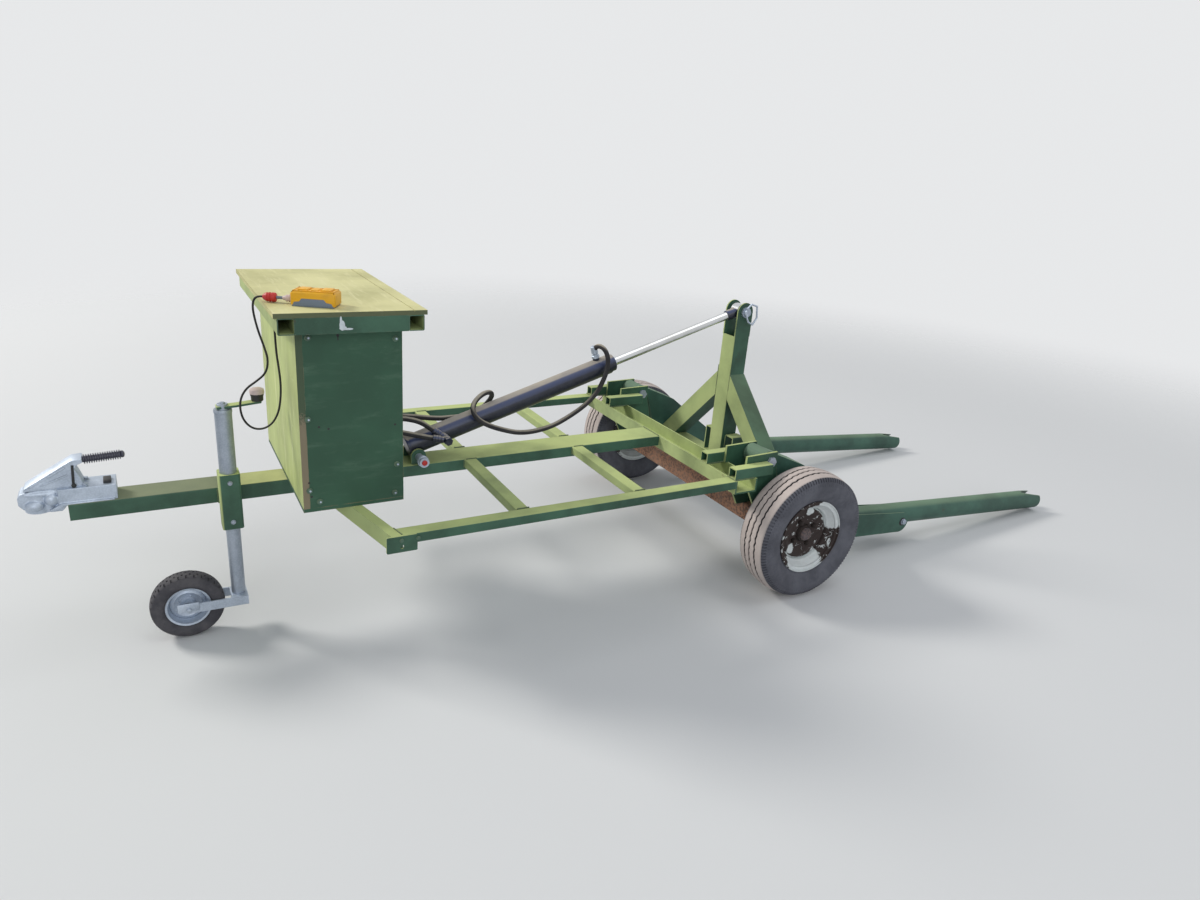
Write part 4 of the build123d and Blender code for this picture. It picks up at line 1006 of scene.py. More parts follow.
HALF_TREAD = (
    (50.8, 127), (50.8, 139), (55, 146), (60, 151), (61, 153), (65.5, 165), (69.5, 178),
    (71.8, 192), (71.8, 205), (69.5, 218), (68.2, 221), (66.5, 226), (63.5, 232), (58.5, 235.8),
    (57, 236.2), (46, 238.4), (33, 240.8),
)
GROOVES = (
    (30.5, 241.3), (29, 234), (23.5, 234), (22, 242.2), (13, 243), (4.2, 243.4), (2.8, 236),
    (-2.8, 236), (-4.2, 243.4), (-13, 243), (-22, 242.2), (-23.5, 234), (-29, 234),
    (-30.5, 241.3),
)
TYRE_OUTLINE = HALF_TREAD + GROOVES + opposite(HALF_TREAD)
print("tyre outline has", len(TYRE_OUTLINE), "points")

# %% Rim and hub outlines
RIM_LIP = (
    (50.8, 127), (50.8, 137), (52.5, 140.5), (56, 141.6), (58.8, 140.2), (59.6, 137.2),
    (58.2, 136.4), (57.2, 138.4), (55.4, 138.8), (54, 137), (54, 126), (51.5, 123.8), (38, 123.8),
    (34.4, 122.4), (27, 106.6), (24, 104.8),
)
RIM_OUTSIDE = ((-25.4, 108), (-32, 127), (32, 127), (25.4, 108))
RIM_OUTLINE = RIM_LIP + opposite(RIM_LIP) + RIM_OUTSIDE
DISC = (
    (-16, 104.6), (8, 104.6), (14, 102.4), (19, 98), (21.4, 92), (21.4, 85), (19.4, 78.5),
    (14.8, 70), (13.2, 63), (13.2, 36), (10, 36), (10, 63), (11.6, 71.5), (15.8, 80), (18, 85.5),
    (18, 91), (16.4, 95.6), (12, 99.4), (7, 101.4), (-16, 101.4),
)
HUB = (
    (-58, 20.05), (-58, 36), (-56, 38), (-2, 38), (0, 40), (0, 64), (10, 64), (10, 36.5),
    (12, 34), (22, 32.6), (25, 30.5), (26, 26), (26, 0.2), (24, 0.2), (24, 20.05),
)
HUB_CAP = (
    (26, 0.2), (26, 24.5), (31, 24.5), (32, 23), (36.5, 20.5), (38.6, 15), (39.2, 8), (39.2, 0.2),
)
print("rim outline has", len(RIM_OUTLINE), "points, disc", len(DISC), "and hub", len(HUB))

# %% [markdown]
# ## Tyres
# A tyre is one outline turned about the axle: bead, wall, shoulder and a tread
# with three grooves. A tread could be a displacement map, but then its notches
# wouldn't be in the mesh. Instead the grooves are pushed into waves, every second
# face of the shoulder is pressed in as a notch, and a ring of fine ribs is
# pressed into the wall below it.


# %% Tyres
CASING_STEPS = 240
STEP_DEGREES = 360 / CASING_STEPS
GROOVED = 0.0310  # half the width of the tread that the grooves take up
WALL_FROM = 0.057  # faces farther than this from the middle are shoulder or wall
NOTCH_RING = (0.2225, 0.2352)  # the radii between which the shoulder is notched
RIB_RING = (0.2060, 0.2170)  # and those of the fine ribs on the wall


def turn_of(x, z):
    """The angle of one offset in side view, in degrees from 0 to 360."""
    return (atan2(z, x) * 180 / pi) % 360


def on_tyre(face, side, low, high, kept):
    """Whether a face lies on one ring of the tyre, on the kept one of two steps."""
    x, y, z = middle_of(face) - Vector((AXLE_X, side * WHEEL_Y, AXLE_Z))
    step = int(turn_of(x, z) // STEP_DEGREES)
    return low < hypot(x, z) < high and abs(y) > WALL_FROM and step % 2 == kept


for name, side in (("left", 1), ("right", -1)):
    centre = Vector((AXLE_X, side * WHEEL_Y, AXLE_Z))
    casing = turned(f"{name}_casing", outlined(TYRE_OUTLINE, side), centre, CASING_STEPS)
    for vert in casing.data.vertices:
        if abs(vert.co.y - centre.y) < GROOVED:
            turn = radians(turn_of(vert.co.x - AXLE_X, vert.co.z - AXLE_Z))
            vert.co.y += 0.0015 * sin(60 * turn) + 0.0008 * sin(44 * turn)
    grab_faces(casing, lambda face: on_tyre(face, side, *NOTCH_RING, 0))
    bpy.ops.mesh.inset(thickness=0.0008, depth=-0.0036)
    let_go()
    grab_faces(casing, lambda face: on_tyre(face, side, *RIB_RING, 1))
    bpy.ops.mesh.inset(thickness=0.0010, depth=-0.0010, use_individual=True)
    let_go()
    settled(casing, tyre_rubber, f"{name}_wheel", f"{name}_tyre", smooth=32)
    print(casing.name, "has", len(casing.data.polygons), "faces")

# %% [markdown]
# ## Rims, studs and hubs
# The rim, its dished disc, the hub and the cap are turned outlines, as on the
# real wheel. The four studs are one six-sided nut with a raised end, modelled
# once and copied round the hub, so that they can't differ by accident.

# %% Rims, studs and hubs
STUD_CIRCLE = 0.0508
STUD_FIRST_DEGREES = 62
STUD_ACROSS = 0.0180
for name, side in (("left", 1), ("right", -1)):
    centre = Vector((AXLE_X, side * WHEEL_Y, AXLE_Z))
    pressed = turned(f"{name}_barrel", outlined(RIM_OUTLINE, side), centre, 96)
    disc = turned(f"{name}_disc", outlined(DISC, side), centre, 96)
    nut = begin(
        bpy.ops.mesh.primitive_cylinder_add, "nut", vertices=6, radius=0.0105, depth=0.010
    )
    raise_top(nut, 0.0035, 0.006)
    rounded(nut, 0.0008)
    spots = []
    for quarter in range(4):
        turn = radians(STUD_FIRST_DEGREES + 90 * quarter)
        reach = Vector((cos(turn), 0, sin(turn))) * STUD_CIRCLE
        spots.append((centre + reach + Vector((0, side * STUD_ACROSS, 0)), (0, side, 0)))
    nuts = scattered(nut, spots, f"{name}_nuts")
    wheel_steel = joined([pressed, disc], f"{name}_pressed_rim")
    settled(wheel_steel, rim_paint, f"{name}_wheel", f"{name}_rim")
    settled(nuts, hub_rust, f"{name}_wheel", "")
    body = turned(f"{name}_hub_body", outlined(HUB, side), centre, 64)
    settled(body, hub_rust, f"{name}_wheel", f"{name}_hub")
    cap = turned(f"{name}_hub_cap", outlined(HUB_CAP, side), centre, 48)
    settled(cap, cap_paint, f"{name}_wheel", "")
    print(name, "wheel:", wheel_steel.name, nuts.name, body.name, cap.name)

# %% [markdown]
# ## More shaping helpers
# A pressed or sawn piece is often one outline given a thickness, and the rest is
# mostly rounded blocks and short pegs. A row of weld is a lump of metal that an
# array repeats along the joint. A bolt is a washer with a six-sided head on it.


# %% Slabs
def slab(name, outline, low, high):
    """An outline in side view, in millimetres, extruded sideways from low to high."""
    piece = begin(
        bpy.ops.mesh.primitive_circle_add, name, vertices=len(outline), fill_type="NGON"
    )
    for vert, (first, second) in zip(piece.data.vertices, outline):
        vert.co = Vector((first, low, second)) / 1000
    way = tuple(Vector((0, high - low, 0)) / 1000)
    grab_all()
    bpy.ops.mesh.extrude_region_move(TRANSFORM_OT_translate={"value": way})
    bpy.ops.mesh.select_all(action="SELECT")
    bpy.ops.mesh.normals_make_consistent(inside=False)
    let_go()
    return piece


print("slab ready")


# %% Blocks and pegs
def block(name, low, high, edge=0.0, segments=2):
    """A box between two corners, in millimetres, with its edges rounded."""
    low, high = Vector(low) / 1000, Vector(high) / 1000
    piece = begin(
        bpy.ops.mesh.primitive_cube_add, name, size=1, location=(low + high) / 2, scale=high - low
    )
    return rounded(piece, edge / 1000, segments) if edge else piece


def peg(name, radius, low, high, sides=24, edge=0.0):
    """A short round bar between two points, in millimetres."""
    low, high = Vector(low) / 1000, Vector(high) / 1000
    piece = begin(
        bpy.ops.mesh.primitive_cylinder_add,
        name,
        vertices=sides,
        radius=radius / 1000,
        depth=(high - low).length,
        location=(low + high) / 2,
        rotation=(high - low).to_track_quat("Z", "Y").to_euler(),
    )
    return rounded(piece, edge / 1000) if edge else piece


print("block and peg ready")


# %% A row of weld
def weld(low, high, radius=3.2):
    """A row of flattened lumps along a joint between two points, in millimetres."""
    low, high = Vector(low), Vector(high)
    pitch = radius * 1.15
    bead = begin(
        bpy.ops.mesh.primitive_ico_sphere_add,
        "bead",
        subdivisions=1,
        radius=radius / 1000,
        scale=(1, 1, 0.8),
    )
    modified(
        bead,
        "ARRAY",
        use_relative_offset=False,
        use_constant_offset=True,
        constant_offset_displace=(0, 0, pitch / 1000),
        count=max(2, int((high - low).length / pitch)),
    )
    turn = (high - low).to_track_quat("Z", "Y").to_matrix().to_4x4()
    bead.matrix_world = Matrix.Translation(low / 1000) @ turn
    return bead


print("weld ready")


# %% Bolts
def bolts(name, size, spots, body, finish):
    """Six-sided heads on washers at each (place, direction), in millimetres."""
    washer = peg("washer", size * 1.05, (0, 0, 0), (0, 0, size * 0.16), 20, 0.4)
    head = begin(
        bpy.ops.mesh.primitive_cylinder_add,
        "head",
        vertices=6,
        radius=size * 0.92 / 1000,
        depth=size * 0.62 / 1000,
        location=(0, 0, size * 0.46 / 1000),
    )
    raise_top(head, size * 0.14 / 1000, size * 0.05 / 1000)
    rounded(head, size * 0.04 / 1000)
    master = joined([washer, head], "bolt_master")
    places = [(Vector(place) / 1000, way) for place, way in spots]
    return settled(scattered(master, places, name), finish, body)


def both_sides(*places):
    """Spots for bolts at places in millimetres and their mirror images, facing outward."""
    return [((x, side * y, z), (0, side, 0)) for x, y, z in places for side in (1, -1)]


print("bolts and both_sides ready")

# %% [markdown]
# ## Coupling
# The ball coupling is pressed steel with soft shoulders, which blocks and balls
# alone don't give. The rough lumps are joined, turned into one skin by a voxel
# remesh and then smoothed, and only after that the ball's socket is cut, so
# that the socket's edge stays crisp.


# %% Soft lumps
def melted(lumps, name, voxel, passes):
    """Joins rough lumps into one soft skin."""
    skin = modified(joined(lumps, name), "REMESH", mode="VOXEL", voxel_size=voxel)
    return modified(skin, "SMOOTH", factor=0.5, iterations=passes)


def ball(name, centre, scale):
    """A stretched ball, in millimetres."""
    return begin(
        bpy.ops.mesh.primitive_ico_sphere_add,
        name,
        subdivisions=3,
        radius=0.001,
        location=Vector(centre) / 1000,
        scale=scale,
    )


print("melted and ball ready")

# %% Coupling body
lumps = [
    block("saddle", (1828, -41, 463), (1972, 41, 509)),
    slab(
        "nose",
        ((1962, 509), (2030, 509), (2060, 503), (2067, 492), (2067, 470), (2056, 456), (2040, 447))
        + ((1994, 441), (1966, 441), (1956, 452), (1956, 466)),
        -30,
        30,
    ),
    peg("dome", 35, (2022, 0, 441), (2022, 0, 500), 48),
]
for side in (1, -1):
    lumps.append(ball("cheek", (2029, 30 * side, 466), (23, 18, 16)))
    lumps.append(ball("ring", (1987, 30 * side, 479), (19, 17, 19)))
    lumps.append(ball("brow", (2010, 24 * side, 498), (46, 12, 9)))
    lumps.append(
        slab(
            "flange",
            ((1836, 462), (1962, 462), (1962, 457), (1990, 447), (1996, 452), (1966, 468))
            + ((1836, 468),),
            min(side * 34, side * 47),
            max(side * 34, side * 47),
        )
    )
coupling = melted(lumps, "pressed_coupling", voxel=0.0015, passes=3)
print("melted", len(lumps), "lumps into", len(coupling.data.polygons), "faces")

# %% Ball socket
for cutter in (
    ball("ball_cut", (2022, 0, 481), (25, 25, 25)),
    peg("neck_cut", 25, (2022, 0, 430), (2022, 0, 481), 48),
):
    modified(coupling, "BOOLEAN", object=cutter, operation="DIFFERENCE")
    bpy.data.objects.remove(cutter)
settled(coupling, zinc, "chassis", "coupling_body", smooth=50)
print("coupling has", len(coupling.data.polygons), "faces")

# %% [markdown]
# ## Coupling lever and grip
# The lever is a tapering cover with two raised ribs on each cheek and a black
# ribbed grip. The cover is one sawn outline with its cheeks set in, and the
# grip's ribs repeat along one turned outline, where separate rings would leave
# gaps between them.

# %% Coupling lever
cover = slab(
    "lever_cover",
    ((2052, 508), (2049, 517), (1944, 580), (1930, 588), (1904, 590), (1903, 579), (1918, 573))
    + ((1924, 562), (1914, 536), (1905, 508)),
    -29,
    29,
)
grab_faces(cover, lambda face: abs(face.normal.y) > 0.9)
bpy.ops.mesh.inset(thickness=0.006, depth=-0.0016, use_individual=True)
let_go()
rounded(cover, 0.0022, 2)
ribs = []
for side in (1, -1):
    near, far = sorted((side * 26.5, side * 29.2))
    for outline in (
        ((2036, 517), (2037, 521), (1948, 571), (1946, 566)),
        ((2010, 519), (2011, 523), (1944, 548), (1943, 543)),
    ):
        ribs.append(rounded(slab("rib", outline, near, far), 0.001))
lever = joined([cover, *ribs], "coupling_cover")
settled(lever, zinc, "chassis", "coupling_lever")
print("lever", lever.name, "has", len(ribs), "ribs")

# %% Grip, stick and bolts
GRIP_TILT = radians(3)
GRIP_RIBS, RIB_PITCH = 16, 0.0059
grip_way = Vector((-cos(GRIP_TILT), 0, sin(GRIP_TILT)))
grip_profile = [(0.0, 0.0095)]
for rib in range(GRIP_RIBS):
    start = 0.003 + rib * RIB_PITCH
    grip_profile += [(start, 0.0086), (start + 0.0010, 0.0138), (start + 0.0029, 0.0138)]
    grip_profile += [(start + 0.0039, 0.0086)]
grip_profile += [(0.0985, 0.0108), (0.1035, 0.0092), (0.106, 0.0045)]
grip_profile += [(0.1065, 0.0003), (0, 0.0003)]
grip = turned(
    "lever_grip",
    grip_profile,
    Vector((1.9040, 0, 0.5792)),
    24,
    along=grip_way,
    out=(sin(GRIP_TILT), 0, cos(GRIP_TILT)),
)
settled(grip, grip_plastic, "chassis", "", smooth=25)
stick = peg("lever_stick", 3.4, (1932, 28.6, 516), (1928, 28.6, 574), 12)
settled(stick, black_plastic, "chassis", "")
shell_spots = [((1905, side * 24, 509), (0, 0, 1)) for side in (1, -1)]
bolts("coupling_bolts", 9, shell_spots, "chassis", bolt_steel)
latch_block = block("coupling_block", (1840, -12, 507), (1860, 26, 518), 2, 2)
settled(latch_block, black_plastic, "chassis")
bolts("cover_bolts", 6, both_sides((1931, 30, 514)), "chassis", black_plastic)
print("grip", grip.name, "has", GRIP_RIBS, "ribs")

# %% [markdown]
# ## Jockey wheel
# The wheel is a solid tyre with blocks in its tread, on a zinc disc with two
# raised rings and four rivets. Both are turned, and every fourth face of each row
# of the tread is pressed in, as on the road tyres, so the blocks are in the mesh.
# Each row is out of step with the next one.

# %% Jockey tyre
JOCKEY = Vector((1.6815, 0.085, 0.105))
JOCKEY_STEPS = 120
TREAD_FROM = 0.094
BLOCK_ROWS = ((-0.026, -0.013, 0), (-0.011, -0.003, 2), (0.003, 0.011, 0), (0.013, 0.026, 2))
JOCKEY_TYRE = (
    (-22, 62), (-22, 66), (-27, 70), (-29.5, 78), (-30, 88), (-28.5, 96), (-25.5, 100.5),
    (-20, 103), (-12, 104.4), (-4, 105), (4, 105), (12, 104.4), (20, 103), (25.5, 100.5),
    (28.5, 96), (30, 88), (29.5, 78), (27, 70), (22, 66), (22, 62),
)
solid_tyre = turned("jockey_casing", outlined(JOCKEY_TYRE), JOCKEY, JOCKEY_STEPS)


def on_jockey(face, low, high, kept):
    """Whether a face lies on one row of the jockey tread, on the kept one of four steps."""
    x, y, z = middle_of(face) - JOCKEY
    step = int(turn_of(x, z) // (360 / JOCKEY_STEPS))
    return hypot(x, z) > TREAD_FROM and low < y < high and step % 4 == kept


for low, high, kept in BLOCK_ROWS:
    grab_faces(solid_tyre, lambda face: on_jockey(face, low, high, kept))
    bpy.ops.mesh.inset(thickness=0.0008, depth=-0.0028, use_individual=True)
    let_go()
settled(solid_tyre, jockey_rubber, "jockey_wheel", "jockey_tyre")
print("jockey tyre has", len(solid_tyre.data.polygons), "faces")

# %% Jockey disc
JOCKEY_DISC = (
    (-22, 61.8), (-24, 64.5), (-25.5, 64), (-24, 58), (-8, 55), (2, 50), (5, 44), (7, 40),
    (5, 36), (3, 30), (3, 24), (8, 20), (29, 19), (29.5, 12), (28, 8.1), (-28, 8.1), (-29.5, 12),
    (-29, 19), (-3, 21), (-1, 30), (-1, 45), (-4, 52), (-10, 58), (-18, 61.8),
)
JOCKEY_RING = (
    (14, 61.8), (22, 61.8), (24, 64.5), (25.5, 64), (24, 58), (2, 51), (0, 54), (12, 58),
)
disc = turned("jockey_disc", outlined(JOCKEY_DISC), JOCKEY, 72)
far_ring = turned("jockey_ring", outlined(JOCKEY_RING), JOCKEY, 72)
rivets = []
for quarter in range(4):
    turn = radians(20 + 90 * quarter)
    spot = JOCKEY * 1000 + Vector((27 * cos(turn), 2, 27 * sin(turn)))
    rivets.append(peg("rivet", 3.6, spot, spot + Vector((0, 4, 0)), 12, 1.0))
zinc_disc = joined([disc, far_ring, *rivets], "jockey_zinc_disc")
settled(zinc_disc, zinc, "jockey_wheel", "jockey_rim")
print("jockey disc has", len(rivets), "rivets")

# %% [markdown]
# ## Jockey head and crank
# The tube ends in a narrower head, with a flat crank arm on it and a black knob
# with a dull pink cap. What is round is turned on an upright axle. The bent arm
# is one sawn outline: folding a strip would give the same bends in more steps.

# %% Jockey head and crank
KNOB_FOOT = (1.4395, 0.085, 0.7405)
HEAD_OUTLINE = (
    (0, 0.2), (0, 24.6), (4, 25.6), (10, 25.6), (13, 24.4), (13, 17), (15, 15.5), (27, 15.5),
    (29, 14), (29, 8), (33, 7), (34, 0.2),
)
head = upright("jockey_head", HEAD_OUTLINE, (1.5355, 0.085, 0.712), 40)
settled(head, worn_zinc, "chassis", "")
arm = slab(
    "crank_arm",
    ((1553, 727), (1553, 735), (1500, 737), (1440, 743), (1430, 743), (1430, 737), (1500, 730)),
    70,
    100,
)
settled(rounded(arm, 0.0012), green_paint, "chassis", "jockey_crank")
KNOB_OUTLINE = (
    (0, 0.2), (0, 14), (3, 17), (16, 17.6), (20, 19), (30, 20), (36, 18), (38.6, 10), (39, 0.2),
)
knob = upright("crank_knob", KNOB_OUTLINE, KNOB_FOOT, 32)
settled(knob, black_plastic, "chassis", "")
CAP_OUTLINE = ((24, 0.2), (24, 20.4), (30, 21), (37, 19.6), (40, 14), (41, 0.2))
cap = upright("knob_cap", CAP_OUTLINE, KNOB_FOOT, 32)
settled(cap, pink_plastic, "chassis", "")
strap = block("fork_strap", (1652, 124.5, 99), (1712, 129, 127), 1.4)
settled(strap, zinc, "jockey_fork", "")
axle_ends = [((1681.5, 129, 105), (0, 1, 0)), ((1681.5, 43, 105), (0, -1, 0))]
bolts("jockey_axle_nuts", 8, axle_ends, "jockey_fork", bolt_steel)
print("crank", head.name, arm.name, knob.name, cap.name)

# %% [markdown]
# ## Screws, holes and a paint drip
# The box's side boards are held by washered screws, with a few spare holes and a
# keyhole, and white paint has run down the lid's rail. A hole is a black disc a
# quarter of a millimetre proud of the board: painted shade that at this size
# looks the same as a drilled one. The drip is a few flat balls that run into one
# another.

# %% Screws and holes
SIDE = 319  # the side boards' outer face, in millimetres from the middle
screws = ((1330, 980), (1090, 968), (1340, 748), (1090, 584), (1345, 532), (1318, 494), (1098, 492))
screw_spots = both_sides(*((x, SIDE, z) for x, z in screws))
bolts("panel_screws", 8.5, screw_spots, "chassis", screw_paint)
# A small zinc head set a little off each screw's middle is a painted highlight.
glint_spots = both_sides(*((x - 1, SIDE + 6, z + 1) for x, z in screws))
bolts("screw_glints", 3.4, glint_spots, "chassis", zinc)
holes = [
    peg("hole", 3.4, (x, side * (SIDE - 2), z), (x, side * (SIDE + 0.25), z), 12)
    for x, z in ((1311, 723), (1285, 715), (1094, 710), (1345, 556), (1340, 512))
    for side in (1, -1)
]
keyhole = peg("keyhole", 4.2, (1250, SIDE - 2, 984), (1250, SIDE + 0.3, 984), 20)
key_slit = block("keyslot", (1248.4, SIDE - 2, 970), (1251.6, SIDE + 0.3, 984))
settled(joined([*holes, keyhole, key_slit], "panel_holes"), black_plastic, "chassis")
print(len(screw_spots), "screws and", len(holes), "holes")

# %% Paint drip
RAIL_SIDE = 369.4  # the face of the lid's rail that the paint has run down
RUNS = ((1251, 3.2, 1018, 1047), (1248, 7.5, 1008, 1036), (1246, 10, 1009, 1021))
drip = [
    ball("drip", (x, RAIL_SIDE, (low + high) / 2), (width, 1.1, (high - low) / 2))
    for x, width, low, high in RUNS
]
drip.append(ball("drip", (1233, RAIL_SIDE, 1012), (14, 1.0, 3)))
settled(joined(drip, "paint_drip"), white_paint, "lid")
print("a drip of", len(drip), "runs")

# %% [markdown]
# ## Handset
# The handset lies askew on the lid: an orange cover with three soft pads round a
# grey base, and at one end a gland, a tail and the red plug of the lead. Askew
# pieces are awkward to model in place, so all of it is modelled square round its
# own middle and then laid on the lid by one matrix. Only the lead's black sleeve
# hangs below the lid.

# %% Handset
HANDSET_MIDDLE = (1.2925, 0.2665, 1.058)
HANDSET_TURN = radians(-27.4)
handset_place = Matrix.Translation(HANDSET_MIDDLE) @ Matrix.Rotation(HANDSET_TURN, 4, "Z")


def on_lid(pieces, name, finish, nodes=""):
    """Joins pieces modelled round the handset's middle and lays them on the lid."""
    piece = joined(pieces, name)
    piece.matrix_world = handset_place
    return settled(piece, finish, "lid", nodes)


cover = block("cover", (-60, -34, 2), (60, 34, 39), 5, 3)
raise_top(cover, 0.006, 0.003)
pads = [
    block("pad", (-46, -22, 40), (-18, 22, 46), 2, 2),
    block("pad", (-12, -20, 40), (8, 20, 44.5), 1.6, 2),
    block("pad", (16, -20, 40), (44, 20, 45.5), 2, 2),
]
on_lid([cover, *pads], "handset_cover", orange_plastic, "handset")
FOOT = (
    (-56, 0.3), (56, 0.3), (50, 12), (36, 14), (30, 22), (-30, 22), (-36, 14), (-50, 12),
)
foot = rounded(slab("foot", FOOT, -35, 35), 0.0012)
on_lid([foot], "handset_foot", grey_plastic, "")
print("handset cover has", len(pads), "pads")


# %% Gland, tail and plug
def along_handset(name, profile, steps=28):
    """A piece turned about the handset's long axis, in millimetres from its middle."""
    axle = Vector((0, 0, 0.014))
    return turned(name, outlined(profile), axle, steps, along=(1, 0, 0), out=(0, 0, 1))


gland = along_handset(
    "gland",
    ((58, 0.2), (58, 11), (66, 11), (67, 9.5), (69, 9.5), (70, 10.5), (73, 10.5), (74, 8.6))
    + ((76, 8.6), (77, 9.4), (80, 9.4), (81, 7.4), (88, 5.6), (90, 4.8), (90, 0.2)),
)
on_lid([gland], "handset_gland", pink_plastic, "")
tail = along_handset("tail", ((88, 0.2), (88, 4.2), (108, 4.2), (108, 0.2)), 16)
on_lid([tail], "plug_tail", grey_plastic, "")
plug = along_handset(
    "plug",
    ((107, 0.2), (107, 9), (109, 12.2), (118, 13), (119, 11.6), (122, 11.6), (123, 13), (126, 13))
    + ((127, 11.6), (130, 11.6), (131, 12.6), (136, 11), (141, 8), (143.5, 5.5), (144, 0.2)),
)
plug_piece = on_lid([plug], "lead_connector", red_plastic, "lead_plug")
print("handset ends in", gland.name, tail.name, plug_piece.name)

# %% Lead's sleeve and cord
SLEEVE = ((0, 3.1), (0, 4.5), (12, 6), (13, 8), (25, 8), (25, 3.1))
sleeve = upright("lead_relief", SLEEVE, (1.391, 0.170, 0.975), 24)
settled(sleeve, black_plastic, "lid", "lead_gland")
print("lead from", tuple(lead_spots[0]), "through", sleeve.name)

# %% [markdown]
# ## Ram fittings
# The ram's ports carry turned fittings with crimped ferrules, and rings mark the
# barrel's foot, its gland and the rod's eye. All of them are round about some
# slanting way, so one helper turns an outline about whatever way it is given.


# %% Port fittings
def square_to(way):
    """Any direction square to another one."""
    return way.orthogonal().normalized()


def fitting(name, start, way, profile, steps, finish, body="ram"):
    """An outline, in millimetres, turned about a way from a point in metres."""
    way = Vector(way).normalized()
    piece = turned(name, outlined(profile), Vector(start), steps, along=way, out=square_to(way))
    return settled(piece, finish, body)


PORT_ALONG, FOOT_ALONG = 752, 104
FERRULE = (
    (0, 0.3), (0, 11.4), (7, 11.4), (8, 10.2), (10, 10.2), (11, 12.6), (18, 12.8), (19, 11.9),
    (20, 12.8), (27, 12.8), (28, 11.9), (29, 12.8), (36, 12.4), (38, 9.4), (38, 0.3),
)
NUT = ((0, 0.3), (0, 13.5), (1, 15), (10, 15), (11, 13.5), (11, 0.3))
SHORT_FERRULE = FERRULE[:7] + FERRULE[12:]
fitting("rod_port_nut", on_ram(PORT_ALONG, 0, 43), ram_up, NUT, 6, bolt_steel)
fitting("rod_port_ferrule", on_ram(PORT_ALONG, 0, 52), ram_up, SHORT_FERRULE, 28, bolt_steel)
for number, (left, bend) in enumerate(((58, (68, 39, 50)), (80, (50, 57, 26)))):
    middle = on_ram(FOOT_ALONG, left, 0)
    way = on_ram(*bend) - middle
    start = middle + way.normalized() * 0.012
    fitting(f"base_ferrule_{number}", start, way, FERRULE, 28, ram_paint)
    ring = ((-7, 0.3), (-7, 13), (-5.5, 14.4), (5.5, 14.4), (7, 13), (7, 0.3))
    fitting(f"base_banjo_{number}", middle, (0, 1, 0), ring, 32, ram_paint)
fitting("banjo_head", on_ram(FOOT_ALONG, 87, 0), (0, 1, 0), NUT[:5] + ((9, 0.3),), 6, ram_paint)
print("port fittings made")

# %% Rings on the ram
GLAND_ALONG, EYE_ALONG = 789, 1359
barrel_end_ring = ((0, 0.3), (0, 37), (2, 38), (9, 38), (11, 37), (11, 0.3))
fitting("barrel_foot_ring", on_ram(-21, 0, 0), ram_way, barrel_end_ring, 48, ram_paint)
gland_ring = ((0, 17), (0, 35.6), (9, 35.6), (10, 33), (13, 33), (14, 31), (14, 17))
fitting("gland_ring", on_ram(GLAND_ALONG, 0, 0), ram_way, gland_ring, 48, ram_paint)
collar = ((14, 16.4), (14, 26), (15, 27), (27, 27), (29, 24.5), (33, 24), (35, 20), (35, 16.4))
fitting("rod_wiper", on_ram(GLAND_ALONG, 0, 0), ram_way, collar, 40, zinc)
shank = ((0, 15), (0, 18.4), (3, 20.5), (30, 20.5), (36, 23), (40, 23), (40, 15))
fitting("rod_shank", on_ram(EYE_ALONG, 0, 0), ram_way, shank, 36, ram_paint, "rod")
pin_ring = ((0, 12), (0, 17.5), (1.5, 19), (8, 19), (9.5, 17.5), (9.5, 12))
fitting("ram_pin_ring", (0.937, 0.090, 0.490), (0, 1, 0), pin_ring, 36, zinc, "chassis")
pin_end = ((0, 0.3), (0, 8.6), (1.4, 9.4), (3.2, 9), (5, 6), (5, 0.3))
fitting("ram_pin_end", (0.937, 0.112, 0.490), (0, 1, 0), pin_end, 32, red_plastic, "chassis")
print("rings made, from the foot to the eye at", EYE_ALONG, "mm")

# %% [markdown]
# ## Pins, bolts and the wire pull
# The mast pin has a cap at each end and a bent wire to draw it out by, and the
# arms end in a bolt with a black ring round it, a painted shadow. A bevelled
# curve would do for the wire, but short rods with a ball in each corner are
# closed solids from the start.


# %% Wire pull
def wire(name, spots, radius, finish, body):
    """A bent wire through points, in millimetres, with round corners."""
    runs = []
    for start, end in zip(spots, spots[1:]):
        runs.append(peg("run", radius, start, end, 12))
        runs.append(ball("corner", end, (radius, radius, radius)))
    return settled(joined(runs, name), finish, body)


pull = ((-414, 56, 948), (-408, 58, 968), (-424, 61, 984), (-448, 66, 976), (-453, 67, 930))
pull += ((-438, 64, 902), (-418, 59, 912), (-410, 57, 932), (-414, 56, 948))
wire("pin_pull", pull, 3.6, zinc, "lifter")
print("wire pull of", len(pull), "points")

# %% Mast pin's caps and the painted shadows round the arms' bolts
pin_cap = ((0, 0.3), (0, 15), (2, 16), (9, 15), (11, 11), (11, 0.3))
for side in (1, -1):
    start = (-0.4145, side * 0.048, 0.948)
    fitting(f"mast_pin_end_{side + 1}", start, (0, side, 0), pin_cap, 28, bolt_steel, "lifter")
bolts("arm_end_bolts", 13, both_sides((-1063, 492.5, 113)), "lifter", bolt_steel)
# A thin black ring round each arm's bolt is a painted shadow.
shadow_ring = ((0, 0.3), (0, 18), (1, 18.6), (1.6, 18), (1.6, 0.3))
for side in (1, -1):
    start = (-1.0585, side * 0.4921, 0.1135)
    fitting(f"arm_bolt_shadow_{side + 1}", start, (0, side, 0), shadow_ring, 28, black_plastic, "lifter")
print("caps and rings made")

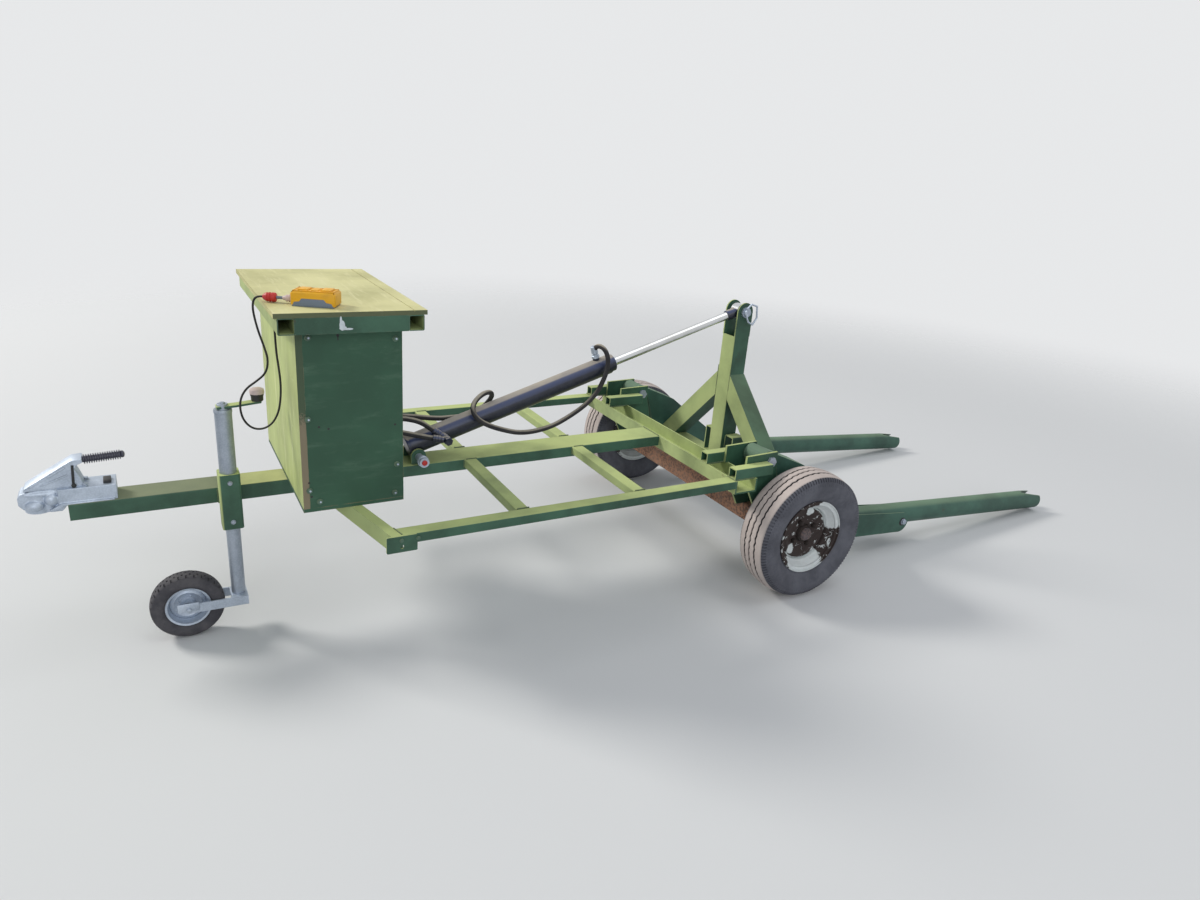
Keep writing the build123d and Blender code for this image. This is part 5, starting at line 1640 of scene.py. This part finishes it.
# %% Socket and corner bolts
clip_spots = [((1535.5, 115, z), (0, 1, 0)) for z in (372, 500)]
bolts("socket_bolts", 7, clip_spots, "chassis", worn_zinc)
plate_spots = both_sides((1100, 560, 451), (1148, 560, 451))
bolts("corner_bolts", 6, plate_spots, "chassis", screw_paint)
print(len(clip_spots), "socket bolts and", len(plate_spots), "corner bolts")

# %% [markdown]
# ## Welds
# Welds run along the joints that can be seen, and each bead is small enough to
# read as a ripple and not as a row of beads. They are modelled and not drawn in
# the paint, because they catch the light along an edge.

# %% Chassis welds
TOP = 464.5  # just proud of the frame's upper faces, in millimetres
TUBE = 44  # the width of a cross tube, from weld to weld


def mirrored(*rows):
    """Rows of weld (start, end and maybe a radius) and their mirror images."""
    return [
        [(x, side * y, z) for x, y, z in row[:2]] + list(row[2:])
        for row in rows
        for side in (1, -1)
    ]


chassis_rows = mirrored(
    ((911, 50, TOP), (963, 50, TOP)),
    ((1258, 51, TOP), (1289, 51, TOP)),
    ((1290, 51, 416), (1290, 51, 463)),
    ((-43, 506, TOP), (-43, 554, TOP)),
    ((1154, 505, TOP), (1143, 554, TOP), 2.6),
)
for x in (733, 306):
    for y in (61, 504):
        corner = x + TUBE + 0.5
        chassis_rows += mirrored(((x, y, TOP), (x + TUBE, y, TOP)))
        chassis_rows += mirrored(((corner, y, 436), (corner, y, 463)))
for y in (337.5, 378.5, 506.5, 547.5):
    chassis_rows += mirrored(((-48, y, TOP), (-134, y, TOP), 2.8))
chassis_rows += [((x, 51, 416), (x, 51, 463)) for x in (1505, 1566)]
chassis_rows.append(((-43, -58, TOP), (-43, 58, TOP)))
chassis_welds = joined([weld(*row) for row in chassis_rows], "chassis_welds")
settled(chassis_welds, weld_paint, "chassis", smooth=60)
print(len(chassis_rows), "rows of weld on the chassis")

# %% Lifter welds
lifter_rows = mirrored(
    ((-378, 40.5, 622), (-378, 40.5, 716), 2.8),
    ((-378, 41, 319), (-451, 41, 319)),
    ((-378, 391.5, 243), (-378, 391.5, 314)),
)
lifter_rows.append(((-376.5, -38, 319), (-376.5, 38, 319)))
lifter_welds = joined([weld(*row) for row in lifter_rows], "lifter_welds")
settled(lifter_welds, weld_paint, "lifter", smooth=60)
print(len(lifter_rows), "rows of weld on the lifter")

# %% [markdown]
# ## Dress the CAD nodes
# A CAD node whose shape is right stays and only gets its finish. One table says
# which finish each node wears. It is easier to check against the frame than a
# call for each node, and what it leaves out is printed: those are the nodes that
# a modelled piece stands for.

# %% Assign finishes
dress = {
    drawbar_paint: "drawbar",
    green_paint: (
        "spine left_rail right_rail front_cross_members cross_members "
        "rear_channel left_inner_bracket left_outer_bracket right_inner_bracket "
        "right_outer_bracket ram_lugs jockey_socket lid_frame mast_post mast_legs "
        "mast_pockets lifter_beam"
    ),
    arm_paint: "left_arm right_arm left_tine right_tine",
    axle_rust: "axle_beam axle_arms",
    bolt_steel: "pivot_pins ram_pin mast_pin",
    zinc: "jockey_fork",
    worn_zinc: "jockey_tube jockey_leg",
    black_plastic: "power_pack battery",
    side_board: "near_panel far_panel rear_panel box_floor",
    sunlit_front_board: "front_panel",
    sunlit_lid_board: "lid_panel",
    ram_paint: "ram_barrel hose_fittings",
    chrome: "ram_rod",
}
dressed = set()
for finish, names in dress.items():
    for name in names.split():
        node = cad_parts[name]
        node.data.materials.clear()
        node.data.materials.append(finish)
        dressed.add(name)
print("bare nodes:", sorted(set(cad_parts) - dressed))
